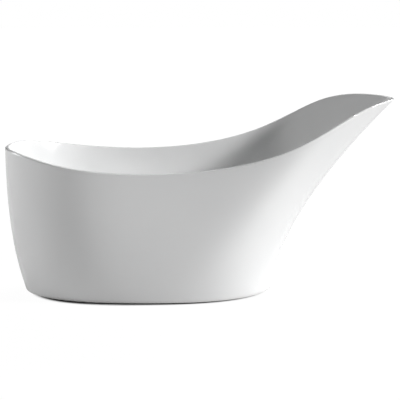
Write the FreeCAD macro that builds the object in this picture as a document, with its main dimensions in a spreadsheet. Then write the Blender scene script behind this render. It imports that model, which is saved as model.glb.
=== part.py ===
import FreeCAD, Part
import math
import os
import re
import Sketcher

# Freestanding double-skin slipper bathtub, in millimetres.
# +X is the high back, +Z is up, and the origin is on the floor below the middle of the length.
# The tub is a bathing shell and an outer skirt, bonded along one thin rim. A steel cradle on
# five levelling feet carries the bathing shell, with the waste and overflow inside the skirt.

document = FreeCAD.newDocument("Bathtub")

# ---------------------------------------------------------------- driving dimensions

rim_half_widths = [388, 446, 544, 480, 415, 427, 486, 514, 521]
rim_heights = [888, 889, 846, 704, 621, 607, 636, 673, 675]
# A station is every 22.5 degrees, from the tip of the back round to the foot end. A half-width
# is divided by the sine of its angle, so that it does not vanish at the two ends.
station_count = len(rim_heights)
station_step = 180.0 / (station_count - 1)

driving_dimensions = [
    # form
    ("halfLength", 900, "half of the overall length"),
    ("rimWidth", 16, "flat top of the rim"),
    ("skin", 5, "thickness of each acrylic skin"),
    ("bondDepth", 14, "depth of the adhesive bead between the skins"),
    ("bondClearance", 0.5, "bead's clearance from each skin"),
    ("skirtGap", 6, "skirt's clearance above the floor"),
    ("baseCentre", -244, "middle of the base, along X"),
    ("baseHalfLength", 579, "half length of the base outline"),
    ("baseHalfWidth", 312, "half width of the base outline"),
    ("baseLengthWaist", -0.15, "how much the base outline draws in at its flanks"),
    ("baseWidthFullness", 0.33, "how square the ends of the base outline are"),
    ("baseWidthTaper", 0.075, "how much wider the base is towards the back"),
    ("footBulge", 2.75, "power of the convex wall at the foot end"),
    ("backFlare", 1.6, "power of the concave wall under the back"),
    ("wellFloor", 150, "bathing floor above the ground"),
    ("wellCorner", 80, "radius between bathing floor and wall"),
    ("wellDraw", 45, "how much further in than the rim the well is at its floor"),
    ("wellDrawFoot", 95, "extra draw at the foot end, room for the overflow"),
    ("wellDrawPower", 0.75, "power of the draw down from the rim"),
    # clearances and rubber washers
    ("runningGap", 0.06, "radial clearance of a running fit"),
    ("bodyGap", 0.3, "clearance between pieces that move apart"),
    ("gasket", 2.5, "thickness of the rubber washers"),
    ("gasketInset", 1, "how far inside its flange a rubber washer stays"),
    # waste flange and nut
    ("wasteX", -520, "waste, along X"),
    ("wasteHole", 26, "radius of the hole in the bathing floor"),
    ("dishRadius", 52, "radius of the dish round the waste"),
    ("dishDepth", 5, "depth of the dish"),
    ("flangeRadius", 35, "waste flange radius"),
    ("flangeRim", 2.4, "waste flange thickness"),
    ("seatRadius", 29.5, "radius of the seat sunk in the flange"),
    ("seatDepth", 1.7, "depth of that seat"),
    ("bodyRadius", 23.9, "threaded body of the waste, G 1 1/2"),
    ("bodyBore", 20.5, "bore of the waste body"),
    ("bodyLength", 46, "length of the threaded body with its flange"),
    ("backnutRadius", 33, "waste backnut radius"),
    ("backnutHeight", 10, "waste backnut height"),
    # pop-up cap, cartridge and spring
    ("capRadius", 31, "pop-up cap radius"),
    ("capThickness", 4, "pop-up cap thickness"),
    ("capCrown", 0.8, "rise of the cap's crown over its edge"),
    ("capSeal", 2, "thickness of the cap's rubber seal"),
    ("sealInset", 2, "how far inside the seat the seal stays"),
    ("stemRadius", 5, "upper part of the cap's stem"),
    ("stemShoulder", 128, "underside of the stem's upper part"),
    ("pinRadius", 3, "lower part of the cap's stem"),
    ("pinBottom", 100, "lower end of the stem"),
    ("hubRadius", 12, "click-clack cartridge radius"),
    ("hubTop", 140, "top of the cartridge"),
    ("hubBottom", 108, "bottom of the cartridge"),
    ("hubWall", 4, "cartridge's end walls"),
    ("chamberRadius", 8, "spring chamber radius"),
    ("discBottom", 116, "underside of the cartridge's disc"),
    ("discThickness", 6, "thickness of that disc"),
    ("discHole", 3.2, "radius of the disc's water holes"),
    ("springRadius", 4.4, "spring coil radius"),
    ("springWire", 0.5, "spring wire radius"),
    ("springPitch", 2.6, "spring pitch at rest"),
    # waste tee and outlet
    ("teeRadius", 25, "waste tee radius"),
    ("teeCollar", 28, "radius of the tee's threaded collar"),
    ("teeTop", 126, "top of the tee's collar"),
    ("teeStep", 100, "top of the tee's narrow part"),
    ("teeBottom", 36, "underside of the tee"),
    ("bodyEndGap", 1, "gap between the waste body's end and the tee's shoulder"),
    ("portReach", 60, "end of the tee's side port, from the waste's axis"),
    ("outletRadius", 20, "outlet tail radius"),
    ("outletNeck", 19.5, "radius of the tail's upper part, inside its nut and the tee"),
    ("outletBore", 17, "outlet tail bore radius"),
    ("outletBottom", 12, "lower end of the outlet tail"),
    ("outletTop", 50, "upper end of the outlet tail, inside the tee"),
    ("outletNutRadius", 30, "outlet nut radius"),
    ("outletNutHeight", 16, "outlet nut height"),
    # overflow
    ("overflowZ", 545, "overflow centre above the floor"),
    ("overflowHole", 22, "radius of the overflow hole"),
    ("overflowCover", 32, "radius of the overflow cover"),
    ("coverStand", 5, "the cover's edge stands this far off the wall"),
    ("coverDepth", 9, "depth of the overflow cover"),
    ("coverSkin", 2, "wall of the overflow cover"),
    ("collarRadius", 9, "collar inside the overflow cover"),
    ("strainerRadius", 29, "overflow strainer radius"),
    ("strainerPlate", 1.6, "overflow strainer thickness"),
    ("strainerTubeGap", 1, "gap round the strainer's tube in the overflow hole"),
    ("strainerTubeWall", 2, "wall of the strainer's tube"),
    ("strainerHole", 4, "radius of the strainer's holes"),
    ("strainerHoleRing", 12, "radius of the ring of strainer holes"),
    ("elbowRadius", 26, "radius of the overflow elbow's chamber"),
    ("elbowDepth", 30, "depth of that chamber"),
    ("elbowWall", 2.5, "wall of the elbow's chamber"),
    ("elbowGap", 1, "gap between the back gasket and the elbow"),
    ("elbowReach", 54, "end of the elbow's spigot, from the overflow's axis"),
    ("bossRadius", 6, "screw boss in the overflow elbow"),
    ("spigotRadius", 11.4, "hose spigots, outside radius"),
    ("spigotBore", 9, "hose spigots, bore radius"),
    # hose
    ("hoseRadius", 14, "overflow hose, outside radius"),
    ("hoseBore", 11.5, "overflow hose, bore radius"),
    ("hoseZ", 64, "level run of the hose and the tee's side port"),
    ("hoseStandoff", 4, "gap between the hose's end and the elbow or tee"),
    ("hoseTopRun", 62, "hose's first run, along the wall"),
    ("hoseLowX", -836, "corner of the hose's low bend, along X"),
    ("hoseTopBend", 200, "centre-line radius of the hose's gentle bend"),
    ("hoseBend", 140, "centre-line radius of the hose's low bend"),
    ("clampRadius", 15, "hose clamp outside radius"),
    ("clampWidth", 9, "hose clamp width"),
    # cradle
    ("boardThickness", 15, "plywood base board bonded under the bathing floor"),
    ("boardStart", -560, "foot end of the board, along X"),
    ("boardLength", 730, "length of the board"),
    ("boardWidth", 330, "width of the board"),
    ("boardCorner", 95, "corner radius of the board"),
    ("boardWasteHole", 58, "radius of the board's clearance round the waste"),
    ("tube", 25, "side of the square steel tube"),
    ("tubeWall", 2, "wall of the square steel tube"),
    ("railStart", -685, "foot end of the rails, along X"),
    ("railLength", 885, "length of the two rails"),
    ("railY", 130, "each rail, from the middle"),
    ("memberFootX", -640, "cross member at the foot end"),
    ("memberMiddleX", -220, "cross member at the middle"),
    ("memberBackX", 150, "cross member at the back"),
    ("memberLength", 400, "length of a cross member"),
    ("capPlate", 2, "plate of a tube end cap"),
    ("plugLength", 10, "plug of a tube end cap"),
    ("frameScrew", 37, "length of a frame screw, through the tube into the board"),
    ("screwRadius", 2.2, "wood screw radius"),
    ("screwHead", 4.5, "screw head radius"),
    ("screwHeadHeight", 2.4, "screw head height"),
    # levelling feet
    ("footY", 172, "corner feet, from the middle"),
    ("studRadius", 6, "M12 stud of a levelling foot"),
    ("studTop", 96, "top of the stud"),
    ("studHexZ", 18, "underside of the stud's hexagon"),
    ("studHexHeight", 6, "height of the stud's hexagon"),
    ("studHexRadius", 9, "stud's hexagon, radius over its corners"),
    ("studHole", 7.5, "clearance hole for the stud in the tube"),
    ("padRadius", 25, "foot pad radius"),
    ("padEdge", 5, "height of the pad's edge"),
    ("padHeight", 14, "foot pad height"),
    ("padSocket", 6, "bottom of the pad's socket"),
    ("nutRadius", 11, "M12 nut, radius over its corners"),
    ("nutHeight", 8, "M12 nut height"),
    ("lockNutGap", 2, "gap between weld nut and lock nut"),
    # skirt fixings and ribs
    ("blockInner", 212, "inner face of a skirt block, from the middle"),
    ("blockLength", 60, "length of a skirt block"),
    ("blockBottom", 45, "underside of a skirt block"),
    ("blockTop", 108, "top of a skirt block"),
    ("bracketWidth", 40, "width of a skirt bracket"),
    ("bracketPlate", 3, "plate thickness of a skirt bracket"),
    ("bracketReach", 156, "inner end of a skirt bracket, from the middle"),
    ("bracketBottom", 55, "lower end of a skirt bracket"),
    ("bracketScrewY", 182, "bracket's upright screws, from the middle"),
    ("bracketScrewZ", 75, "bracket's level screws, above the floor"),
    ("bracketScrew", 12, "length of a bracket's upright screws"),
    ("blockScrew", 22, "length of a bracket's level screws"),
    ("ribThickness", 15, "plywood ribs behind the reclined back"),
    ("ribStart", 215, "lower end of the ribs, along X"),
    ("ribTop", 760, "top of the ribs"),
]

sheet = document.addObject("Spreadsheet::Sheet", "Dimensions")


def add_dimension(row, alias, value, note):
    sheet.set(f"A{row}", note)
    sheet.set(f"B{row}", str(value))
    sheet.setAlias(f"B{row}", alias)


for station, (half_width, height) in enumerate(zip(rim_half_widths, rim_heights)):
    add_dimension(2 * station + 1, f"rimHalfWidth{station}", half_width, f"station {station}")
    add_dimension(2 * station + 2, f"rimHeight{station}", height, f"station {station}")
for index, (alias, value, note) in enumerate(driving_dimensions):
    add_dimension(2 * station_count + 1 + index, alias, value, note)
document.recompute()


def size(expression):
    """The value in millimetres of an expression in sheet cells, such as 'skin * 2'."""
    return float(sheet.evalExpression(expression))


# ---------------------------------------------------------------- the tub's form

def rim_curve():
    """The rim's half-width and height against angle, as one closed smooth curve."""
    last = station_count - 1
    stations = list(range(station_count)) + list(range(last - 1, 0, -1))
    points = [FreeCAD.Vector(size(f"rimHalfWidth{i}"), size(f"rimHeight{i}"), 0) for i in stations]
    angles = [station_step * i for i in range(len(stations) + 1)]
    curve = Part.BSplineCurve()
    curve.interpolate(Points=points, PeriodicFlag=True, Parameters=angles)
    return curve


rim = rim_curve()


def rim_height(angle):
    return rim.value(angle % 360).y


def wall_point(angle, height):
    """Outer face of the skirt: the base outline blended to the rim outline going up."""
    cosine = math.cos(math.radians(angle))
    sine = math.sin(math.radians(angle))
    at_rim = rim.value(angle % 360)
    base_x = size_of["baseCentre"] + size_of["baseHalfLength"] * cosine * (
        1 + size_of["baseLengthWaist"] * sine ** 2)
    base_y = size_of["baseHalfWidth"] * sine * (
        1 + size_of["baseWidthFullness"] * cosine ** 2 + size_of["baseWidthTaper"] * cosine)
    rise = min(1.0, height / at_rim.y)
    toward_foot = (1 - cosine) / 2
    foot_share = toward_foot ** 2 * (3 - 2 * toward_foot)
    spread = foot_share * (1 - (1 - rise) ** size_of["footBulge"])
    spread += (1 - foot_share) * rise ** size_of["backFlare"]
    x = base_x + (size_of["halfLength"] * cosine - base_x) * spread
    y = base_y + (at_rim.x * sine - base_y) * spread
    return FreeCAD.Vector(x, y, height)


def plan_normal(angle, height):
    """Level direction straight out of the wall, seen from above."""
    step = 0.5
    along = wall_point(angle + step, height) - wall_point(angle - step, height)
    return FreeCAD.Vector(along.y, -along.x, 0).normalize()


def level_thickness(angle, height, thickness):
    """Level width of a skin of that thickness, which is more where the wall leans."""
    step = 1.0
    top = min(height + step, rim_height(angle))
    lean = wall_point(angle, top) - wall_point(angle, top - 2 * step)
    out = lean.dot(plan_normal(angle, height)) / (2 * step)
    return thickness * math.sqrt(1 + out ** 2)


def inward(angle, height, distance):
    return wall_point(angle, height) - plan_normal(angle, height) * distance


def well_draw(angle, height):
    """Level distance from the skirt's face in to the bathing face, above the floor corner."""
    toward_foot = (1 - math.cos(math.radians(angle))) / 2
    draw = size_of["wellDraw"] + size_of["wellDrawFoot"] * toward_foot ** 4
    drop = max(0.0, 1 - height / rim_height(angle))
    return size_of["rimWidth"] + draw * drop ** size_of["wellDrawPower"]


size_of = {alias: size(alias) for alias, value, note in driving_dimensions}
ring_angles = [360.0 / 48 * i for i in range(48)]


def ring(point_at):
    """Closed curve through point_at(angle), all the way round the tub."""
    curve = Part.BSplineCurve()
    curve.interpolate(Points=[point_at(angle) for angle in ring_angles], PeriodicFlag=True,
                      Parameters=ring_angles + [360.0])
    return curve.toShape()


def skin_through(rings):
    """Smooth face through a stack of rings, lowest first."""
    return Part.makeLoft([Part.Wire(one) for one in rings], False, False).Faces[0]


def level_edge(face, highest):
    """The face's top or bottom edge."""
    closed = [edge for edge in face.Edges if edge.isClosed()]
    closed.sort(key=lambda edge: edge.BoundBox.ZMax)
    return closed[-1] if highest else closed[0]


def solid_of(faces):
    shell = Part.Shell(Part.makeCompound(faces).Faces)
    shell.sewShape()
    solid = Part.Solid(shell)
    if solid.Volume < 0:
        solid.reverse()
    return solid


def ring_solid(outer_rings, inner_rings):
    """Closed band between two stacks of rings."""
    outer = skin_through(outer_rings)
    inner = skin_through(inner_rings)
    top = Part.makeRuledSurface(level_edge(outer, True), level_edge(inner, True))
    bottom = Part.makeRuledSurface(level_edge(outer, False), level_edge(inner, False))
    return solid_of([outer, inner, top, bottom])


def outer_shell():
    """The skirt, from just above the floor to the rim."""
    bottom = size_of["skirtGap"]
    shares = [0, 0.06, 0.15, 0.28, 0.42, 0.57, 0.72, 0.86, 1]

    def at(share, thickness):
        def point(angle):
            height = bottom + (rim_height(angle) - bottom) * share
            width = level_thickness(angle, height, thickness) if thickness else 0
            return inward(angle, height, width)
        return ring(point)

    outer = [at(share, 0) for share in shares]
    inner = [at(share, size_of["skin"]) for share in shares]
    return ring_solid(outer, inner)


def well_rings(depth_below):
    """Rings of the bathing face, or of its underside when depth_below is the skin."""
    floor = size_of["wellFloor"] - depth_below
    corner = size_of["wellCorner"] + depth_below
    corner_top = floor + corner

    def at(height_at, extra):
        def point(angle):
            height = height_at(angle)
            draw = well_draw(angle, height) + extra
            if depth_below:
                draw -= level_thickness(angle, height, depth_below)
            return inward(angle, height, draw)
        return ring(point)

    rings = []
    for turn in (0, 15, 30, 50, 70):
        height = corner_top - corner * math.cos(math.radians(turn))
        extra = corner * (1 - math.sin(math.radians(turn)))
        rings.append(at(lambda angle, level=height: level, extra))
    for share in (0, 0.12, 0.28, 0.45, 0.62, 0.78, 0.9, 0.97, 1):
        rings.append(at(lambda angle, part=share:
                        corner_top + (rim_height(angle) - corner_top) * part, 0))
    return rings


def inner_shell():
    """The bathing well, its floor and its dish for the waste."""
    inside = skin_through(well_rings(0))
    outside = skin_through(well_rings(size_of["skin"]))
    top = Part.makeRuledSurface(level_edge(outside, True), level_edge(inside, True))
    floor = Part.Face(Part.Wire(level_edge(inside, False)))
    underside = Part.Face(Part.Wire(level_edge(outside, False)))
    return solid_of([inside, outside, top, floor, underside])


def rim_bond():
    """Adhesive bead that fills the joint between the two skins just under the rim."""
    clearance = size_of["bondClearance"]

    def at(share, distance):
        def point(angle):
            height = rim_height(angle) - size_of["bondDepth"] * (1 - share)
            return inward(angle, height, distance(angle, height))
        return ring(point)

    def from_skirt(angle, height):
        return level_thickness(angle, height, size_of["skin"]) + clearance

    def from_well(angle, height):
        width = level_thickness(angle, height, size_of["skin"])
        return well_draw(angle, height) - width - clearance

    shares = (0, 0.5, 1)
    return ring_solid([at(share, from_skirt) for share in shares],
                      [at(share, from_well) for share in shares])


# The overflow sits square on the leaning foot wall. Its own frame has Z out of the wall into
# the bath and X down along the wall.

def overflow_frame():
    foot = 180
    height = size_of["overflowZ"]
    step = 5

    def face(level):
        return inward(foot, level, well_draw(foot, level))

    up_wall = (face(height + step) - face(height - step)).normalize()
    down_wall = up_wall * -1
    out_of_wall = FreeCAD.Vector(up_wall.z, 0, -up_wall.x)
    rotation = FreeCAD.Rotation(down_wall, FreeCAD.Vector(0, 1, 0), out_of_wall, "ZXY")
    return FreeCAD.Placement(face(height), rotation)


overflow_place = overflow_frame()


# ---------------------------------------------------------------- building helpers

sub_parts = []


def linked(expression):
    """The expression with every dimension's name pointing at the sheet."""
    return re.sub(r"[A-Za-z]\w*", lambda name: "Dimensions." + name.group(), expression)


def bind(thing, path, expression):
    thing.setExpression(path, linked(expression))


def keep(thing, label):
    """Count the object as a sub-part, under the name its file will have."""
    thing.Label = label
    sub_parts.append(thing)
    return thing


def place(thing, across, along, up):
    bind(thing, "Placement.Base.x", across)
    bind(thing, "Placement.Base.y", along)
    bind(thing, "Placement.Base.z", up)


def box(low, lengths):
    """Block from its low corner and its lengths along X, Y and Z, all expressions."""
    block = document.addObject("Part::Box", "Block")
    for name, length in zip(("Length", "Width", "Height"), lengths):
        bind(block, name, length)
    place(block, *low)
    return block


turn_to = {
    "X": FreeCAD.Rotation(FreeCAD.Vector(0, 0, 1), FreeCAD.Vector(1, 0, 0)),
    "-X": FreeCAD.Rotation(FreeCAD.Vector(0, 0, 1), FreeCAD.Vector(-1, 0, 0)),
    "Y": FreeCAD.Rotation(FreeCAD.Vector(0, 0, 1), FreeCAD.Vector(0, 1, 0)),
    "-Y": FreeCAD.Rotation(FreeCAD.Vector(0, 0, 1), FreeCAD.Vector(0, -1, 0)),
    "Z": FreeCAD.Rotation(),
    "-Z": FreeCAD.Rotation(FreeCAD.Vector(1, 0, 0), 180),
}


def rod(start, radius, length, direction="Z"):
    """Round bar from the middle of its first end."""
    bar = document.addObject("Part::Cylinder", "Bar")
    bar.Placement.Rotation = turn_to[direction]
    bind(bar, "Radius", radius)
    bind(bar, "Height", length)
    place(bar, *start)
    return bar


def hexagon(start, radius, length):
    """Upright six-sided bar, its radius over the corners."""
    bar = document.addObject("Part::Prism", "Hexagon")
    bar.Polygon = 6
    bind(bar, "Circumradius", radius)
    bind(bar, "Height", length)
    place(bar, *start)
    return bar


def joined(pieces):
    fuse = document.addObject("Part::MultiFuse", "Joined")
    fuse.Shapes = pieces
    return fuse


def cut(base, tools):
    result = document.addObject("Part::Cut", "Cut")
    result.Base = base
    result.Tool = tools[0] if len(tools) == 1 else joined(tools)
    return result


def shaped(label, shape, placement=None):
    """A piece whose form neither a sketch nor a primitive gives."""
    feature = document.addObject("Part::Feature", label)
    feature.Shape = shape
    if placement:
        feature.Placement = placement
    return keep(feature, label)


def new_sketch(body, plane, offset=None):
    support = next(one for one in body.Origin.OriginFeatures if one.Role == plane)
    sketch = body.newObject("Sketcher::SketchObject", "Outline")
    sketch.AttachmentSupport = [(support, "")]
    sketch.MapMode = "FlatFace"
    if offset:
        bind(sketch, "AttachmentOffset.Base.z", offset)
    return sketch


def fix_point(sketch, line, point, across, up):
    """Hold a point of the sketch at two expressions, measured from the origin."""
    for kind, expression in (("DistanceX", across), ("DistanceY", up)):
        index = sketch.addConstraint(
            Sketcher.Constraint(kind, -1, 1, line, point, size(expression)))
        sketch.setExpression(f"Constraints[{index}]", linked(expression))


def draw_outline(sketch, corners):
    """Closed straight-sided outline through corners given as pairs of expressions."""
    first = sketch.GeometryCount
    points = [FreeCAD.Vector(size(across), size(up), 0) for across, up in corners]
    for start, end in zip(points, points[1:] + points[:1]):
        sketch.addGeometry(Part.LineSegment(start, end), False)
    for index, (across, up) in enumerate(corners):
        line = first + index
        following = first + (index + 1) % len(corners)
        sketch.addConstraint(Sketcher.Constraint("Coincident", line, 2, following, 1))
        fix_point(sketch, line, 1, across, up)


def draw_circle(sketch, across, up, radius):
    centre = FreeCAD.Vector(size(across), size(up), 0)
    circle = sketch.addGeometry(Part.Circle(centre, FreeCAD.Vector(0, 0, 1), size(radius)), False)
    fix_point(sketch, circle, 3, across, up)
    index = sketch.addConstraint(Sketcher.Constraint("Radius", circle, size(radius)))
    sketch.setExpression(f"Constraints[{index}]", linked(radius))


def turned(name, corners):
    """Body turned about its Z axis from an outline of radius and height."""
    body = document.addObject("PartDesign::Body", name)
    sketch = new_sketch(body, "XZ_Plane")
    draw_outline(sketch, corners)
    turn = body.newObject("PartDesign::Revolution", "Turn")
    turn.Profile = sketch
    turn.ReferenceAxis = (sketch, ["V_Axis"])
    turn.Angle = 360
    body.Tip = turn
    return body


def washer(name, inner, outer, bottom, top):
    return turned(name, [(inner, bottom), (outer, bottom), (outer, top), (inner, top)])


# ---------------------------------------------------------------- levels used by several pieces

well_underside = "wellFloor - skin"
board_bottom = well_underside + " - boardThickness"
rail_bottom = board_bottom + " - tube"
member_bottom = rail_bottom + " - tube"
dish_floor = "wellFloor - dishDepth"
flange_bottom = dish_floor + " + gasket"
flange_top = flange_bottom + " + flangeRim"
seat = flange_top + " - seatDepth"
body_end = flange_top + " - bodyLength"
cap_bottom = seat + " + bodyGap + capSeal"
elbow_front = "0 - skin - gasket - elbowGap"
elbow_middle = elbow_front + " - elbowDepth / 2"

feet = [("memberFootX", "0 - footY"), ("memberFootX", "footY"), ("memberMiddleX", "0"),
        ("memberBackX", "0 - footY"), ("memberBackX", "footY")]
disc_hole_count = 8
strainer_hole_count = 6
members = {"foot": "memberFootX", "middle": "memberMiddleX", "back": "memberBackX"}
sides = {"near": "0 - ", "far": ""}


# ---------------------------------------------------------------- the two skins

def in_overflow_frame(shape):
    shape.Placement = overflow_place.multiply(shape.Placement)
    return shape


def inner_shell_with_holes():
    """The well, with a sunk dish and holes for the waste and the overflow."""
    waste = FreeCAD.Vector(size("wasteX"), 0, 0)
    down = FreeCAD.Vector(0, 0, -1)
    above = size("dishDepth")
    reach = size("skin") * 3
    underside = size(dish_floor + " - skin")
    boss = Part.makeCylinder(size("dishRadius + skin"), size(well_underside) - underside,
                             waste + FreeCAD.Vector(0, 0, underside))
    dish = Part.makeCylinder(size("dishRadius"), size("dishDepth") + above,
                             waste + FreeCAD.Vector(0, 0, size(dish_floor)))
    hole = Part.makeCylinder(size("wasteHole"), size("wellFloor") / 2,
                             waste + FreeCAD.Vector(0, 0, size("wellFloor")), down)
    overflow = Part.makeCylinder(size("overflowHole"), 2 * reach, FreeCAD.Vector(0, 0, -reach))
    return inner_shell().fuse(boss).cut(dish).cut(hole).cut(in_overflow_frame(overflow))


skirt = shaped("outer_shell", outer_shell())
well = shaped("inner_shell", inner_shell_with_holes())
shaped("rim_bond", rim_bond())


# ---------------------------------------------------------------- cradle

def base_board():
    """Plywood board under the bathing floor, cut away round the waste."""
    body = document.addObject("PartDesign::Body", "BaseBoard")
    outline = new_sketch(body, "XY_Plane", board_bottom)
    half = "boardWidth / 2"
    end = "boardStart + boardLength"
    draw_outline(outline, [("boardStart", "0 - " + half), (end, "0 - " + half), (end, half),
                           ("boardStart", half)])
    sheet_of_wood = body.newObject("PartDesign::Pad", "Board")
    sheet_of_wood.Profile = outline
    bind(sheet_of_wood, "Length", "boardThickness")
    document.recompute()
    upright = [f"Edge{index + 1}" for index, edge in enumerate(sheet_of_wood.Shape.Edges)
               if abs(edge.tangentAt(edge.FirstParameter).z) > 0.9]
    corners = body.newObject("PartDesign::Fillet", "Corners")
    corners.Base = (sheet_of_wood, upright)
    bind(corners, "Radius", "boardCorner")
    opening = new_sketch(body, "XY_Plane", board_bottom)
    draw_circle(opening, "wasteX", "0", "boardWasteHole")
    pocket = body.newObject("PartDesign::Pocket", "WasteNotch")
    pocket.Profile = opening
    pocket.Type = "ThroughAll"
    pocket.Reversed = True
    body.Tip = pocket
    document.recompute()
    assert pocket.Shape.Volume < corners.Shape.Volume, "the waste notch cut nothing"
    return keep(body, "base_board")


def rail(side):
    centre = sides[side] + "railY"
    half = "tube / 2"
    outside = box(("railStart", f"{centre} - {half}", rail_bottom), ("railLength", "tube", "tube"))
    inside = box(("railStart", f"{centre} - {half} + tubeWall", rail_bottom + " + tubeWall"),
                 ("railLength", "tube - 2 * tubeWall", "tube - 2 * tubeWall"))
    holes = [rod((x, centre, rail_bottom), "screwRadius", "tube") for x in frame_screw_x]
    keep(cut(outside, [inside] + holes), f"rail_{side}")


def cross_member(end):
    middle = members[end]
    half = "memberLength / 2"
    outside = box((f"{middle} - tube / 2", f"0 - {half}", member_bottom),
                  ("tube", "memberLength", "tube"))
    inside = box((f"{middle} - tube / 2 + tubeWall", f"0 - {half}", member_bottom + " + tubeWall"),
                 ("tube - 2 * tubeWall", "memberLength", "tube - 2 * tubeWall"))
    holes = [rod((x, y, member_bottom), "studHole", "tube / 2") for x, y in feet if x == middle]
    keep(cut(outside, [inside] + holes), f"cross_member_{end}")


def tube_end_caps():
    """Plastic plugs in the open ends of all five tubes."""
    pieces = []
    for side in sides.values():
        for x, outward in (("railStart", "0 - "), ("railStart + railLength", "")):
            flush = x + (" - capPlate" if outward else "")
            plug = x + ("" if outward else " - plugLength")
            low = side + "railY - tube / 2"
            pieces.append(joined([
                box((flush, low, rail_bottom), ("capPlate", "tube", "tube")),
                box((plug, low + " + tubeWall", rail_bottom + " + tubeWall"),
                    ("plugLength", "tube - 2 * tubeWall", "tube - 2 * tubeWall"))]))
    for x in members.values():
        for sign in sides.values():
            end = sign + "memberLength / 2"
            flush = end + (" - capPlate" if sign else "")
            plug = end + ("" if sign else " - plugLength")
            low = x + " - tube / 2"
            pieces.append(joined([
                box((low, flush, member_bottom), ("tube", "capPlate", "tube")),
                box((low + " + tubeWall", plug, member_bottom + " + tubeWall"),
                    ("tube - 2 * tubeWall", "plugLength", "tube - 2 * tubeWall"))]))
    keep(joined(pieces), "tube_end_caps")


def screw(start, length, direction):
    """Pan-head wood screw. Its head's underside is at start, and its shank runs on from there."""
    back = {"Z": "-Z", "X": "-X", "Y": "-Y", "-Z": "Z", "-X": "X", "-Y": "Y"}[direction]
    return joined([rod(start, "screwRadius", length, direction),
                   rod(start, "screwHead", "screwHeadHeight", back)])


frame_screw_offsets = [60, 200, 480, 670]
frame_screw_x = [f"boardStart + {offset}" for offset in frame_screw_offsets]


def frame_screws():
    """Long screws up through the rails into the board."""
    keep(joined([screw((x, side + "railY", rail_bottom), "frameScrew", "Z")
                 for x in frame_screw_x for side in sides.values()]), "frame_screws")


def skirt_blocks():
    """Wooden blocks bonded to the inside of the skirt, at both ends of two cross members."""
    blocks = []
    past_skirt = size("baseHalfWidth")
    for x in (size("memberFootX"), size("memberBackX")):
        for side in (-1, 1):
            low = FreeCAD.Vector(x - size("blockLength") / 2, size("blockInner"),
                                 size("blockBottom"))
            blank = Part.makeBox(size("blockLength"), past_skirt,
                                 size("blockTop - blockBottom"), low)
            if side < 0:
                blank = blank.mirror(FreeCAD.Vector(0, 0, 0), FreeCAD.Vector(0, 1, 0))
            pieces = blank.cut(skirt.Shape).Solids
            blocks.append(min(pieces, key=lambda piece: abs(piece.CenterOfMass.y)))
    shaped("skirt_blocks", Part.makeCompound(blocks))


bracket_holes = ["0 - bracketWidth / 4", "bracketWidth / 4"]
bracket_spots = [(x, side) for x in ("memberFootX", "memberBackX") for side in sides.values()]


def skirt_brackets():
    """Angle brackets from the cross members' tops to the skirt blocks."""
    plates = []
    for x, side in bracket_spots:
        low = f"{x} - bracketWidth / 2"
        inner = side + ("blockInner" if side else "bracketReach")
        upright = side + ("blockInner" if side else "blockInner + 0 - bracketPlate")
        plates.append(joined([
            box((low, inner, rail_bottom),
                ("bracketWidth", "blockInner - bracketReach", "bracketPlate")),
            box((low, upright, "bracketBottom"),
                ("bracketWidth", "bracketPlate", f"{rail_bottom} + bracketPlate - bracketBottom"))]))
    holes = []
    for x, side in bracket_spots:
        for shift in bracket_holes:
            holes.append(rod((f"{x} + {shift}", side + "bracketScrewY", rail_bottom),
                             "screwRadius", "bracketPlate"))
            holes.append(rod((f"{x} + {shift}", f"{side}blockInner", "bracketScrewZ"),
                             "screwRadius", "bracketPlate", "Y" if side else "-Y"))
    keep(cut(joined(plates), holes), "skirt_brackets")


def bracket_screws():
    screws = []
    for x, side in bracket_spots:
        face = side + ("blockInner + bracketPlate" if side else "blockInner - bracketPlate")
        for shift in bracket_holes:
            screws.append(screw((f"{x} + {shift}", side + "bracketScrewY",
                                 rail_bottom + " + bracketPlate"), "bracketScrew", "-Z"))
            screws.append(screw((f"{x} + {shift}", face, "bracketScrewZ"),
                                "blockScrew", "-Y" if side else "Y"))
    keep(joined(screws), "bracket_screws")


def back_rib(side):
    """Plywood rib that fills the space between the skins under the reclined back."""
    sign = -1 if side == "near" else 1
    middle = sign * size("railY")
    bottom = size(board_bottom)
    blank = Part.makeBox(size("halfLength"), size("ribThickness"), size("ribTop") - bottom,
                         FreeCAD.Vector(size("ribStart"), middle - size("ribThickness") / 2, bottom))
    level = size("wellFloor") * 2
    angle = min(range(90), key=lambda one: abs(wall_point(one, level).y - abs(middle)))
    between = inward(angle * sign, level, size("rimWidth"))
    pieces = blank.cut(skirt.Shape).cut(well.Shape).Solids
    rib = next(piece for piece in pieces if piece.isInside(between, 0.1, True))
    shaped(f"back_rib_{side}", rib)


base_board()
for side in sides:
    rail(side)
for end in members:
    cross_member(end)
tube_end_caps()
frame_screws()
skirt_blocks()
skirt_brackets()
bracket_screws()
for side in sides:
    back_rib(side)


# ---------------------------------------------------------------- levelling feet

def foot_pad(number, x, y):
    bore = "studRadius + runningGap"
    pad = turned(f"FootPad{number}", [
        ("0", "0"), ("padRadius", "0"), ("padRadius", "padEdge"), ("nutRadius", "padHeight"),
        (bore, "padHeight"), (bore, "padSocket"), ("0", "padSocket")])
    place(pad, x, y, "0")
    keep(pad, f"foot_pad_{number}")


def foot_stud(number, x, y):
    """Threaded stud with the hexagon that it is turned by."""
    bottom = "padSocket + bodyGap"
    keep(joined([rod((x, y, bottom), "studRadius", f"studTop - ({bottom})"),
                 hexagon((x, y, "studHexZ"), "studHexRadius", "studHexHeight")]),
         f"foot_stud_{number}")


def foot_nuts(label, bottom):
    """One M12 nut on each stud, as a group."""
    blanks = [hexagon((x, y, bottom), "nutRadius", "nutHeight") for x, y in feet]
    bores = [rod((x, y, bottom), "studRadius + runningGap", "nutHeight") for x, y in feet]
    keep(cut(joined(blanks), bores), label)


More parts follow.
